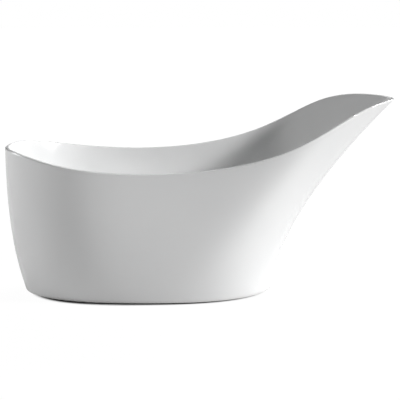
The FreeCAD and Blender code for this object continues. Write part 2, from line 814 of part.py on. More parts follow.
for number, (x, y) in enumerate(feet, start=1):
    foot_pad(number, x, y)
    foot_stud(number, x, y)
foot_nuts("weld_nuts", member_bottom + " - nutHeight")
foot_nuts("lock_nuts", member_bottom + " - 2 * nutHeight - lockNutGap")


# ---------------------------------------------------------------- waste

def on_waste(body, label):
    place(body, "wasteX", "0", "0")
    return keep(body, label)


def waste_cartridge():
    """Click-clack cartridge: guide tube on a pierced disc that sits in the waste's bore."""
    guide = "stemRadius + runningGap"
    tip_guide = "pinRadius + runningGap"
    body = turned("WasteCartridge", [
        (tip_guide, "hubBottom"), ("hubRadius", "hubBottom"), ("hubRadius", "discBottom"),
        ("bodyBore", "discBottom"), ("bodyBore", "discBottom + discThickness"),
        ("hubRadius", "discBottom + discThickness"), ("hubRadius", "hubTop"), (guide, "hubTop"),
        (guide, "hubTop - hubWall"), ("chamberRadius", "hubTop - hubWall"),
        ("chamberRadius", "hubBottom + hubWall"), (tip_guide, "hubBottom + hubWall")])
    solid = body.Tip
    drawing = new_sketch(body, "XY_Plane", "discBottom")
    draw_circle(drawing, "(hubRadius + bodyBore) / 2", "0", "discHole")
    hole = body.newObject("PartDesign::Pocket", "DiscHole")
    hole.Profile = drawing
    bind(hole, "Length", "discThickness")
    hole.Reversed = True
    holes = body.newObject("PartDesign::PolarPattern", "DiscHoles")
    holes.Originals = [hole]
    holes.Axis = (drawing, ["N_Axis"])
    holes.Angle = 360
    holes.Occurrences = disc_hole_count
    body.Tip = holes
    document.recompute()
    assert holes.Shape.Volume < solid.Shape.Volume, "the disc's holes cut nothing"
    return body


def cartridge_spring():
    """Round-wire coil between the cartridge's floor and the stem's shoulder."""
    bottom = size("hubBottom + hubWall + springWire + bodyGap")
    height = size("stemShoulder") - size("springWire + bodyGap") - bottom
    spine = Part.makeHelix(size("springPitch"), height, size("springRadius"))
    start = FreeCAD.Vector(size("springRadius"), 0, 0)
    section = Part.Wire(Part.makeCircle(size("springWire"), start, FreeCAD.Vector(0, 1, 0)))
    coil = Part.Wire(spine.Edges).makePipeShell([section], True, True)
    return coil, FreeCAD.Placement(FreeCAD.Vector(size("wasteX"), 0, bottom), FreeCAD.Rotation())


def waste_tee():
    """Tee that screws onto the waste, with a side port for the overflow hose."""
    barrel = turned("TeeBarrel", [
        ("outletNeck + runningGap", "teeBottom"), ("teeRadius", "teeBottom"),
        ("teeRadius", "teeStep"), ("teeCollar", "teeStep"), ("teeCollar", "teeTop"),
        ("bodyRadius + runningGap", "teeTop"), ("bodyRadius + runningGap", body_end + " - bodyEndGap"),
        ("outletNeck + runningGap", body_end + " - bodyEndGap")])
    place(barrel, "wasteX", "0", "0")
    port = rod(("wasteX - (outletRadius + teeRadius) / 2", "0", "hoseZ"), "spigotRadius",
               "portReach - (outletRadius + teeRadius) / 2", "-X")
    bore = rod(("wasteX", "0", "hoseZ"), "spigotBore", "portReach", "-X")
    keep(cut(joined([barrel, port]), [bore]), "waste_tee")


on_waste(turned("WasteFlange", [
    ("bodyBore", body_end), ("bodyRadius", body_end), ("bodyRadius", flange_bottom),
    ("flangeRadius", flange_bottom), ("flangeRadius", flange_bottom + " + flangeRim / 2"),
    ("flangeRadius - flangeRim / 2", flange_top), ("seatRadius", flange_top),
    ("seatRadius", seat), ("bodyBore", seat)]), "waste_flange")
on_waste(washer("UpperGasket", "wasteHole", "flangeRadius - gasketInset", dish_floor, flange_bottom),
         "waste_gasket_upper")
on_waste(washer("LowerGasket", "bodyRadius + runningGap", "flangeRadius",
                f"{dish_floor} - skin - gasket", f"{dish_floor} - skin"), "waste_gasket_lower")
backnut_bottom = f"{dish_floor} - skin - gasket - backnutHeight"
keep(cut(hexagon(("wasteX", "0", backnut_bottom), "backnutRadius", "backnutHeight"),
         [rod(("wasteX", "0", backnut_bottom), "bodyRadius + runningGap", "backnutHeight")]),
     "waste_backnut")
on_waste(waste_cartridge(), "waste_cartridge")
spring_shape, spring_place = cartridge_spring()
shaped("cartridge_spring", spring_shape, spring_place)
on_waste(turned("WasteCap", [
    ("0", "pinBottom"), ("pinRadius", "pinBottom"), ("pinRadius", "stemShoulder"),
    ("stemRadius", "stemShoulder"), ("stemRadius", cap_bottom), ("capRadius", cap_bottom),
    ("capRadius", f"{cap_bottom} + capThickness / 2"),
    ("capRadius - capThickness / 2", f"{cap_bottom} + capThickness"),
    ("0", f"{cap_bottom} + capThickness + capCrown")]), "waste_cap")
on_waste(washer("CapSeal", "bodyBore", "seatRadius - sealInset", f"{seat} + bodyGap", cap_bottom),
         "cap_seal")
waste_tee()
outlet_nut_bottom = "teeBottom - outletNutHeight / 2"
outlet_nut_top = "teeBottom + outletNutHeight / 2"
on_waste(turned("OutletTail", [
    ("outletBore", "outletBottom"), ("outletRadius", "outletBottom"),
    ("outletRadius", outlet_nut_bottom), ("outletNeck", outlet_nut_bottom),
    ("outletNeck", "outletTop"), ("outletBore", "outletTop")]), "outlet_tail")
on_waste(turned("OutletNut", [
    ("outletNeck + runningGap", outlet_nut_bottom), ("outletNutRadius", outlet_nut_bottom),
    ("outletNutRadius", outlet_nut_top), ("teeRadius + runningGap", outlet_nut_top),
    ("teeRadius + runningGap", "teeBottom"), ("outletNeck + runningGap", "teeBottom")]),
    "outlet_nut")


# ---------------------------------------------------------------- overflow

def on_overflow(thing, label):
    thing.Placement = overflow_place
    return keep(thing, label)


def overflow_gasket(label, low, high):
    """Rubber ring, moulded to the curve of the wall that it seals against."""
    outer = Part.makeCylinder(size("overflowCover - gasketInset"), high - low, FreeCAD.Vector(0, 0, low))
    inner = Part.makeCylinder(size("overflowHole"), high - low, FreeCAD.Vector(0, 0, low))
    rubber = in_overflow_frame(outer.cut(inner)).cut(well.Shape)
    shaped(label, max(rubber.Solids, key=lambda piece: piece.Volume))


def overflow_elbow():
    """Chamber behind the wall, with a spigot down for the hose."""
    front = elbow_front
    back = f"{front} - elbowDepth"
    chamber = turned("ElbowChamber", [
        ("0", back), ("elbowRadius", back), ("elbowRadius", front),
        ("elbowRadius - elbowWall", front), ("elbowRadius - elbowWall", f"{back} + elbowWall"),
        ("bossRadius", f"{back} + elbowWall"), ("bossRadius", f"{elbow_middle} + elbowWall"),
        ("screwRadius", f"{elbow_middle} + elbowWall"), ("screwRadius", f"{back} + elbowWall"),
        ("0", f"{back} + elbowWall")])
    spigot = rod(("elbowRadius - elbowWall / 2", "0", elbow_middle), "spigotRadius",
                 "elbowReach - elbowRadius", "X")
    bore = rod(("elbowRadius - 2 * elbowWall", "0", elbow_middle), "spigotBore", "elbowReach", "X")
    on_overflow(cut(joined([chamber, spigot]), [bore]), "overflow_elbow")


def overflow_strainer():
    """Pierced plate with a short tube through the wall, held by one screw."""
    outside = "overflowHole - strainerTubeGap"
    bore = outside + " - strainerTubeWall"
    body = turned("OverflowStrainer", [
        ("screwRadius", "gasket"), (bore, "gasket"), (bore, "0 - 2 * skin"),
        (outside, "0 - 2 * skin"), (outside, "gasket"), ("strainerRadius", "gasket"),
        ("strainerRadius", "gasket + strainerPlate"), ("screwRadius", "gasket + strainerPlate")])
    drawing = new_sketch(body, "XY_Plane", "gasket")
    draw_circle(drawing, "strainerHoleRing", "0", "strainerHole")
    hole = body.newObject("PartDesign::Pocket", "StrainerHole")
    hole.Profile = drawing
    bind(hole, "Length", "strainerPlate")
    hole.Reversed = True
    holes = body.newObject("PartDesign::PolarPattern", "StrainerHoles")
    holes.Originals = [hole]
    holes.Axis = (drawing, ["N_Axis"])
    holes.Angle = 360
    holes.Occurrences = strainer_hole_count
    solid = body.Tip
    body.Tip = holes
    document.recompute()
    assert holes.Shape.Volume < solid.Shape.Volume, "the strainer's holes cut nothing"
    on_overflow(body, "overflow_strainer")


def overflow_cover():
    """Round cover on a central collar. Water enters round its edge."""
    plate = "gasket + strainerPlate"
    top = "coverStand + coverDepth"
    on_overflow(turned("OverflowCover", [
        ("0", f"{top} - coverSkin"), ("collarRadius - coverSkin", f"{top} - coverSkin"),
        ("collarRadius - coverSkin", plate), ("collarRadius", plate),
        ("collarRadius", f"{top} - coverSkin"), ("overflowCover - coverSkin", f"{top} - coverSkin"),
        ("overflowCover - coverSkin", "coverStand"), ("overflowCover", "coverStand"),
        ("overflowCover", f"{top} - coverSkin"), ("overflowCover - coverSkin", top),
        ("0", top)]), "overflow_cover")


def overflow_screw():
    plate = "gasket + strainerPlate"
    on_overflow(screw(("0", "0", plate), f"{plate} - ({elbow_middle}) + elbowWall", "-Z"),
                "overflow_screw")


def hose_route():
    """The hose's corners, from its end on the elbow down to its end on the tee."""
    on_spigot = FreeCAD.Vector(size("elbowRadius + hoseStandoff"), 0, size(elbow_middle))
    start = overflow_place.multVec(on_spigot)
    down = overflow_place.Rotation.multVec(FreeCAD.Vector(1, 0, 0))
    bend = start + down * size("hoseTopRun")
    low = FreeCAD.Vector(size("hoseLowX"), 0, size("hoseZ"))
    end = FreeCAD.Vector(size("wasteX - teeRadius - hoseStandoff"), 0, size("hoseZ"))
    return [start, bend, low, end]


def rounded_path(points, radii):
    """Wire of straight runs joined by tangent arcs of the given radii."""
    edges = []
    last = points[0]
    for before, corner, after, radius in zip(points, points[1:], points[2:], radii):
        arrive = (corner - before).normalize()
        leave = (after - corner).normalize()
        turn = arrive.getAngle(leave)
        setback = radius * math.tan(turn / 2)
        enter = corner - arrive * setback
        exit_point = corner + leave * setback
        centre_way = (leave - arrive).normalize()
        centre = corner + centre_way * (radius / math.cos(turn / 2))
        middle = centre - centre_way * radius
        edges.append(Part.makeLine(last, enter))
        edges.append(Part.Arc(enter, middle, exit_point).toShape())
        last = exit_point
    edges.append(Part.makeLine(last, points[-1]))
    return Part.Wire(edges)


def tube_along(path, radius, bore):
    start = path.OrderedVertexes[0].Point
    first = path.OrderedEdges[0]
    way = first.tangentAt(first.FirstParameter)
    outside = path.makePipe(Part.Wire(Part.makeCircle(radius, start, way)))
    inside = path.makePipe(Part.Wire(Part.makeCircle(bore, start, way)))
    pipes = []
    for skin_face in (outside, inside):
        ends = [Part.Face(Part.Wire(edge)) for edge in skin_face.Edges
                if edge.isClosed() and len(skin_face.ancestorsOfType(edge, Part.Face)) == 1]
        pipes.append(solid_of(skin_face.Faces + ends))
    return pipes[0].cut(pipes[1])


def overflow_hose():
    path = rounded_path(hose_route(), [size("hoseTopBend"), size("hoseBend")])
    hose = tube_along(path, size("hoseRadius"), size("hoseBore"))
    expected = math.pi * (size("hoseRadius") ** 2 - size("hoseBore") ** 2) * path.Length
    print(f"hose: length {path.Length:.1f} mm, volume {hose.Volume / expected:.4f} of its section")
    shaped("overflow_hose", hose)


def hose_clamps():
    """Clip rings on both ends of the hose."""
    start, bend, low, end = hose_route()
    rings = []
    for point, way in ((start, bend - start), (end, low - end)):
        way.normalize()
        foot = point + way * size("clampWidth")
        band = Part.makeCylinder(size("clampRadius"), size("clampWidth"), foot, way)
        rings.append(band.cut(Part.makeCylinder(size("hoseRadius"), size("clampWidth"), foot, way)))
    shaped("hose_clamps", Part.makeCompound(rings))


overflow_gasket("overflow_gasket_front", 0, size("gasket"))
overflow_gasket("overflow_gasket_back", size(elbow_front), -size("skin") / 2)
overflow_elbow()
overflow_strainer()
overflow_screw()
overflow_cover()
overflow_hose()
hose_clamps()


# ---------------------------------------------------------------- checks and files

document.recompute()
for thing in document.Objects:
    faults = [state for state in thing.State if state in ("Invalid", "Error")]
    if faults:
        raise RuntimeError(f"{thing.Name} ({thing.Label}) is {faults}")
os.makedirs("parts", exist_ok=True)
for part in sub_parts:
    shape = part.Shape
    if shape.isNull() or not shape.isValid():
        raise RuntimeError(f"{part.Label} has no valid shape")
    shape.exportStep(f"parts/{part.Label}.step")
    limits = shape.BoundBox
    print(f"{part.Label}: {len(shape.Solids)} solid(s), {shape.Volume / 1000:.1f} cm3, "
          f"X {limits.XMin:.1f}..{limits.XMax:.1f} Y {limits.YMin:.1f}..{limits.YMax:.1f} "
          f"Z {limits.ZMin:.1f}..{limits.ZMax:.1f}")
print(f"{len(sub_parts)} sub-parts")
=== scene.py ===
import math

import bmesh
import bpy
import numpy as np
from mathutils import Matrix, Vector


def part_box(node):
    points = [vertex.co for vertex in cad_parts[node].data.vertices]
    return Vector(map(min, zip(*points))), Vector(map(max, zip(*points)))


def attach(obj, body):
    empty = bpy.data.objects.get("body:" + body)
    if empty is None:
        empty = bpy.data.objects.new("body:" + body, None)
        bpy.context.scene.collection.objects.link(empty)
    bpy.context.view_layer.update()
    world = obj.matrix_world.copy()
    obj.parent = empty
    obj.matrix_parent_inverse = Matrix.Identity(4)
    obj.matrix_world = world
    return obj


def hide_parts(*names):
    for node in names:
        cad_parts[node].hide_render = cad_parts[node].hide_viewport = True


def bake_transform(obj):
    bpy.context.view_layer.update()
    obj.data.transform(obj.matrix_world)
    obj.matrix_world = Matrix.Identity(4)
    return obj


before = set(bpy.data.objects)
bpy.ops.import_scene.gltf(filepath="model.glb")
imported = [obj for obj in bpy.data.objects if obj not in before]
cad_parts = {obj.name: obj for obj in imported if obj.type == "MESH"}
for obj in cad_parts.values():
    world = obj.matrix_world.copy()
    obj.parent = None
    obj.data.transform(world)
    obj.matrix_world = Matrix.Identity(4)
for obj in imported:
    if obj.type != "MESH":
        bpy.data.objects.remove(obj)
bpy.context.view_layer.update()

# Freestanding slipper bathtub. +X is the high back, the origin is on the floor, in metres.

scene = bpy.context.scene
print("frame loaded:", len(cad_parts), "nodes")


# camera

camera = {"place": (-0.2642, -4.9975, 1.4109), "down": 0.1968, "turn": 0.05216, "lens": 97.866,
          "sensor": 36}

cameraData = bpy.data.cameras.new("camera")
cameraData.lens = camera["lens"]
cameraData.sensor_width = camera["sensor"]
cameraObject = bpy.data.objects.new("camera", cameraData)
cameraObject.location = camera["place"]
cameraObject.rotation_euler = (math.pi / 2 - camera["down"], 0, -camera["turn"])
scene.collection.objects.link(cameraObject)
scene.camera = cameraObject


# meshes from arrays

def gridFaces(rows, columns, closeRows=False, closeColumns=True):
    # quads between neighbouring points of a grid numbered row by row
    row, column = np.meshgrid(np.arange(rows if closeRows else rows - 1),
                              np.arange(columns if closeColumns else columns - 1), indexing="ij")
    nextRow, nextColumn = (row + 1) % rows, (column + 1) % columns
    corners = [row * columns + column, row * columns + nextColumn,
               nextRow * columns + nextColumn, nextRow * columns + column]
    return np.stack(corners, -1).reshape(-1, 4)


def signedVolume(points, faces):
    # a sixth of the sum, over both triangles of each quad, of corner . (corner x corner)
    a, b, c, d = (points[faces[:, i]] for i in range(4))
    twice = np.einsum("ij,ij->", a, np.cross(b, c)) + np.einsum("ij,ij->", a, np.cross(c, d))
    return twice / 6


def addPiece(name, surfaces, material, body="root", replaced=()):
    # surfaces is a list of (points, faces), each closed by itself; poles and seams are merged
    points, faces, count = [], [], 0
    for place, quads in surfaces:
        if signedVolume(place, quads) < 0:
            quads = quads[:, ::-1]
        points.append(place)
        faces.append(quads + count)
        count += len(place)
    mesh = bpy.data.meshes.new(name)
    mesh.from_pydata(np.concatenate(points).tolist(), [], np.concatenate(faces).tolist())
    piece = bpy.data.objects.new(name, mesh)
    scene.collection.objects.link(piece)
    mergePoints(mesh)
    mesh.polygons.foreach_set("use_smooth", np.ones(len(mesh.polygons), bool))
    mesh.materials.append(material)
    if body:
        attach(piece, body)
    if replaced:
        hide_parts(*replaced)
    return piece


def mergePoints(mesh, distance=1e-6):
    # joins points closer than the distance and drops edges shorter than it
    work = bmesh.new()
    work.from_mesh(mesh)
    bmesh.ops.remove_doubles(work, verts=work.verts, dist=distance)
    bmesh.ops.dissolve_degenerate(work, edges=work.edges, dist=distance)
    work.to_mesh(mesh)
    work.free()


def softProfile(corners, radius, steps=4):
    # each corner becomes a parabola between the points a radius before and after it:
    # (1-u)^2 before + 2u(1-u) corner + u^2 after, with one more row outside each end to hold
    # the flat beside it; a corner on the axis is kept sharp
    longest, hold = 0.4, 1.2   # share of a side that rounding may take, and place of the outer rows
    corner = np.asarray(corners, float)
    radius = np.broadcast_to(np.asarray(radius, float), (len(corner),))
    toBefore = np.roll(corner, 1, 0) - corner
    toAfter = np.roll(corner, -1, 0) - corner
    lengthBefore = np.linalg.norm(toBefore, axis=1)
    lengthAfter = np.linalg.norm(toAfter, axis=1)
    reach = np.minimum(radius, longest * np.minimum(lengthBefore, lengthAfter))
    reach = np.where(corner[:, 0] <= 0, 0, reach)
    before = corner + toBefore / lengthBefore[:, None] * reach[:, None]
    after = corner + toAfter / lengthAfter[:, None] * reach[:, None]
    u = np.linspace(0, 1, steps + 1)[None, :, None]
    curve = (1 - u) ** 2 * before[:, None] + 2 * u * (1 - u) * corner[:, None] + u ** 2 * after[:, None]
    holdBefore = corner + toBefore / lengthBefore[:, None] * reach[:, None] * hold
    holdAfter = corner + toAfter / lengthAfter[:, None] * reach[:, None] * hold
    return np.concatenate([holdBefore[:, None], curve, holdAfter[:, None]], 1).reshape(-1, 2)


def turnedSurface(profile, centre=(0, 0, 0), columns=64, shape=None, start=0.0):
    # x = r cos a, y = r sin a, z = height, for every profile point (r, height) and every angle a;
    # shape turns the radius into one that also depends on the angle
    angle = (np.arange(columns) + start) / columns * 2 * np.pi
    radius, height = profile[:, :1], profile[:, 1:]
    radius = shape(radius, height, angle) if shape else np.broadcast_to(radius, (len(profile), columns))
    points = np.stack([radius * np.cos(angle), radius * np.sin(angle),
                       np.broadcast_to(height, (len(profile), columns))], -1).reshape(-1, 3)
    return points + np.asarray(centre), gridFaces(len(profile), columns, True, True)


def threadShape(thread):
    # radius less the depth times a wave of (turns up the pitch less turns round): the wave is
    # sharpened into a crest and a root, and runs out over one pitch at each end of the thread
    def shape(radius, height, angle):
        wave = np.cos(2 * np.pi * height / thread["pitch"] - angle)
        cutIn = thread["depth"] * np.clip(0.5 - 0.75 * wave, 0, 1)
        runOut = np.clip((height - thread["low"]) / thread["pitch"], 0, 1) * np.clip(
            (thread["high"] - height) / thread["pitch"], 0, 1)
        onThread = (np.abs(radius - thread["radius"]) < 1e-5) * runOut
        return radius - cutIn * onThread
    return shape


def threadRows(thread, perTurn=8):
    # rows of the plain radius at even heights, for threadShape to cut
    count = int((thread["high"] - thread["low"]) / thread["pitch"] * perTurn)
    height = np.linspace(thread["low"], thread["high"], count)
    return np.stack([np.full(count, thread["radius"]), height], -1)


def hexagonRadius(corner, angle):
    # distance to a side of the hexagon: flat / cos(angle from the middle of that side)
    return corner * math.cos(math.pi / 6) / np.cos(np.mod(angle, math.pi / 3) - math.pi / 6)


coneRise = 1.7   # how fast the cone that takes off a hexagon's corners widens with height


def nutSurface(nut, centre, columns=72):
    # radius = the smaller of the hexagon's and of a cone's, which starts at a share of the flat
    # at each end face and widens with the height from it
    coneStart, faceShare, lead = 0.97, 0.9, 0.0006
    low, high, corner, bore = (nut[k] for k in ("low", "high", "corner", "bore"))
    flat = corner * math.cos(math.pi / 6)
    rise = nut["chamfer"]
    steps = np.linspace(0, 1, 6) * rise
    side = np.concatenate([low + steps, high - steps[::-1]])
    angle = np.arange(columns) / columns * 2 * np.pi
    cone = flat * coneStart + coneRise * np.minimum(side - low, high - side)
    radius = np.minimum(hexagonRadius(corner, angle)[None, :], cone[:, None])
    rows = [(bore + lead, low), (flat * faceShare, low)]
    inner = [(flat * faceShare, high), (bore + lead, high), (bore, high - lead), (bore, low + lead)]
    ring = np.ones(columns)
    allRadius = np.concatenate([[r * ring for r, _ in rows], radius, [r * ring for r, _ in inner]])
    allHeight = np.concatenate([[h for _, h in rows], side, [h for _, h in inner]])[:, None] * ring
    points = np.stack([allRadius * np.cos(angle), allRadius * np.sin(angle), allHeight], -1)
    return points.reshape(-1, 3) + np.asarray(centre), gridFaces(len(allRadius), columns, True, True)


def sweptSurface(path, across, up, radius, sides):
    # a ring of points round each path point: path + r (across cos a + up sin a)
    angle = (np.arange(sides) / sides * 2 * np.pi)[None, :, None]
    ring = across[:, None] * np.cos(angle) + up[:, None] * np.sin(angle)
    points = path[:, None] + ring * np.asarray(radius)[:, None, None]
    return points.reshape(-1, 3)


# the tub's form

tub = {
    "rimHalfWidths": (0.388, 0.446, 0.544, 0.480, 0.415, 0.427, 0.486, 0.514, 0.521),
    "rimHeights": (0.888, 0.889, 0.846, 0.704, 0.621, 0.607, 0.636, 0.673, 0.675),
    "halfLength": 0.9, "rimWidth": 0.016, "skin": 0.005, "skirtGap": 0.006,
    "baseCentre": -0.244, "baseHalfLength": 0.579, "baseHalfWidth": 0.312,
    "baseLengthWaist": -0.15, "baseWidthFullness": 0.33, "baseWidthTaper": 0.075,
    "footBulge": 2.75, "backFlare": 1.6,
    "wellFloor": 0.150, "wellCorner": 0.080, "wellDraw": 0.045, "wellDrawFoot": 0.095,
    "wellDrawPower": 0.75,
    "rimRound": 0.0055, "lipDepth": 0.003, "columns": 288,
    # the seam in the rim: half its gap, its edges' rounding, and the rows that hold the flats
    "seamGap": 0.0001, "seamRound": 0.0003, "seamDrop": 0.0004, "seamHold": 0.0005, "rimHold": 0.0008,
}
# rows of the skins' grids
rings = {"skirtFace": 84, "skirtBack": 48, "wellFace": 74, "wellBack": 44, "corner": 22, "dish": 13}


def periodicCurve(values):
    # smooth closed curve through the stations, every 22.5 degrees and mirrored past 180:
    # between two stations it is the cubic whose second derivatives agree all the way round
    around = np.concatenate([values, values[-2:0:-1]])
    count = len(around)
    step = 2 * np.pi / count
    bend = 6 * (np.roll(around, -1) - 2 * around + np.roll(around, 1)) / step ** 2
    system = 4 * np.eye(count) + np.roll(np.eye(count), 1, 0) + np.roll(np.eye(count), -1, 0)
    second = np.linalg.solve(system, bend)

    def at(angle):
        turn = np.mod(angle, 2 * np.pi) / step
        first = np.floor(turn).astype(int) % count
        last = (first + 1) % count
        f = turn - np.floor(turn)
        return (around[first] * (1 - f) + around[last] * f + step ** 2 / 6 * (
            second[first] * ((1 - f) ** 3 - (1 - f)) + second[last] * (f ** 3 - f)))
    return at


halfWidthAt = periodicCurve(np.array(tub["rimHalfWidths"]))
rimHeightAt = periodicCurve(np.array(tub["rimHeights"]))


def wallPoint(angle, height):
    # base outline + (rim outline - base outline) * spread, where spread is the share of the
    # convex foot law 1-(1-rise)^bulge and of the flared back law rise^flare
    cosine, sine = np.cos(angle), np.sin(angle)
    baseX = tub["baseCentre"] + tub["baseHalfLength"] * cosine * (1 + tub["baseLengthWaist"] * sine ** 2)
    baseY = tub["baseHalfWidth"] * sine * (
        1 + tub["baseWidthFullness"] * cosine ** 2 + tub["baseWidthTaper"] * cosine)
    rise = np.clip(height / rimHeightAt(angle), 0, 1)
    towardFoot = (1 - cosine) / 2
    share = towardFoot ** 2 * (3 - 2 * towardFoot)
    spread = share * (1 - (1 - rise) ** tub["footBulge"]) + (1 - share) * rise ** tub["backFlare"]
    x = baseX + (tub["halfLength"] * cosine - baseX) * spread
    y = baseY + (halfWidthAt(angle) * sine - baseY) * spread
    return np.stack([x, y, np.broadcast_to(height, x.shape)], -1)


def planNormal(angle, height):
    # level direction out of the wall: the outline's tangent turned a quarter turn
    step = np.radians(0.5)
    along = wallPoint(angle + step, height) - wallPoint(angle - step, height)
    out = np.stack([along[..., 1], -along[..., 0], np.zeros_like(along[..., 0])], -1)
    return out / np.linalg.norm(out, axis=-1, keepdims=True)


def levelWidth(angle, height, thickness):
    # thickness * sqrt(1 + lean^2), the level width of a wall that leans
    step = 0.001
    top = np.minimum(height + step, rimHeightAt(angle))
    lean = wallPoint(angle, top) - wallPoint(angle, top - 2 * step)
    out = np.sum(lean * planNormal(angle, height), -1) / (2 * step)
    return thickness * np.sqrt(1 + out ** 2)


def inward(angle, height, distance):
    # the wall's point less the distance times its level normal
    return wallPoint(angle, height) - planNormal(angle, height) * np.asarray(distance)[..., None]


def wellDraw(angle, height):
    # level distance from the skirt's face to the bathing face, more at the foot and lower down
    towardFoot = (1 - np.cos(angle)) / 2
    drop = np.maximum(0, 1 - height / rimHeightAt(angle))
    return tub["rimWidth"] + (tub["wellDraw"] + tub["wellDrawFoot"] * towardFoot ** 4) * (
        drop ** tub["wellDrawPower"])


angles = (np.arange(tub["columns"]) / tub["columns"] * 2 * np.pi)[None, :]
rimLevel = rimHeightAt(angles)


def bendRows(before, corner, after, steps=6):
    # rows of a rounded edge: (1-u)^2 before + 2u(1-u) corner + u^2 after, ends included
    u = np.linspace(0, 1, steps + 1)[:, None, None]
    return (1 - u) ** 2 * before + 2 * u * (1 - u) * corner + u ** 2 * after


def atRim(distance, drop):
    # a ring that far in from the rim's outer edge and that far below its top
    ring = inward(angles, rimLevel, np.full_like(rimLevel, distance))
    return ring - np.array([0, 0, drop])


def skirtRows(thickness, shares):
    # rings of the skirt's face, or of its back when it has a thickness
    low = tub["skirtGap"]
    height = low + (rimLevel - low) * shares
    width = levelWidth(angles, height, thickness) if thickness else np.zeros_like(height)
    return inward(angles, height, width)


def outerSkinSurface():
    # rings up the skirt's face, over the rim to the seam, and down the skirt's back
    skin, lip, rounding = (tub[k] for k in ("skin", "lipDepth", "rimRound"))
    lowest, highest, backTop = 0.006, 0.988, 0.985   # shares of the skirt's height
    shares = (1 - np.cos(np.linspace(0, np.pi, rings["skirtFace"]))) / 2
    face = skirtRows(0, (lowest + (highest - lowest) * shares)[:, None])
    topShare = np.ones((1, 1))
    rimEdge = skirtRows(0, topShare)
    bottomOut = skirtRows(0, topShare * 0)
    bottomIn = skirtRows(skin, topShare * 0)
    rimRound = bendRows(face[-1:], rimEdge, atRim(rounding, 0))
    middle = tub["rimWidth"] / 2 - tub["seamGap"]
    lipTop = np.concatenate([atRim(d, 0) for d in (rounding + tub["rimHold"], middle - tub["seamHold"])])
    seam = bendRows(atRim(middle - tub["seamRound"], 0), atRim(middle, 0),
                    atRim(middle, tub["seamDrop"]), 2)
    lipEnd = atRim(middle, lip)
    underLip = inward(angles, rimLevel - lip, levelWidth(angles, rimLevel - lip, skin))
    back = skirtRows(skin, np.linspace(backTop, lowest, rings["skirtBack"])[:, None])
    inner = bendRows(back[-1:], bottomIn, bottomIn + (bottomOut - bottomIn) * 0.3, 3)
    outer = bendRows(bottomOut + (bottomIn - bottomOut) * 0.3, bottomOut, face[:1], 3)
    rows = np.concatenate([face, rimRound[1:], lipTop, seam, lipEnd, underLip, back, inner[1:],
                           outer[:-1]])
    return rows.reshape(-1, 3), gridFaces(len(rows), tub["columns"], True, True)


# the waste's place, and the radii of what is moulded round it in the floor
waste = {"x": -0.520, "hole": 0.026, "dish": 0.052, "dishDepth": 0.005, "dishFlat": 0.040,
         "boss": 0.057}


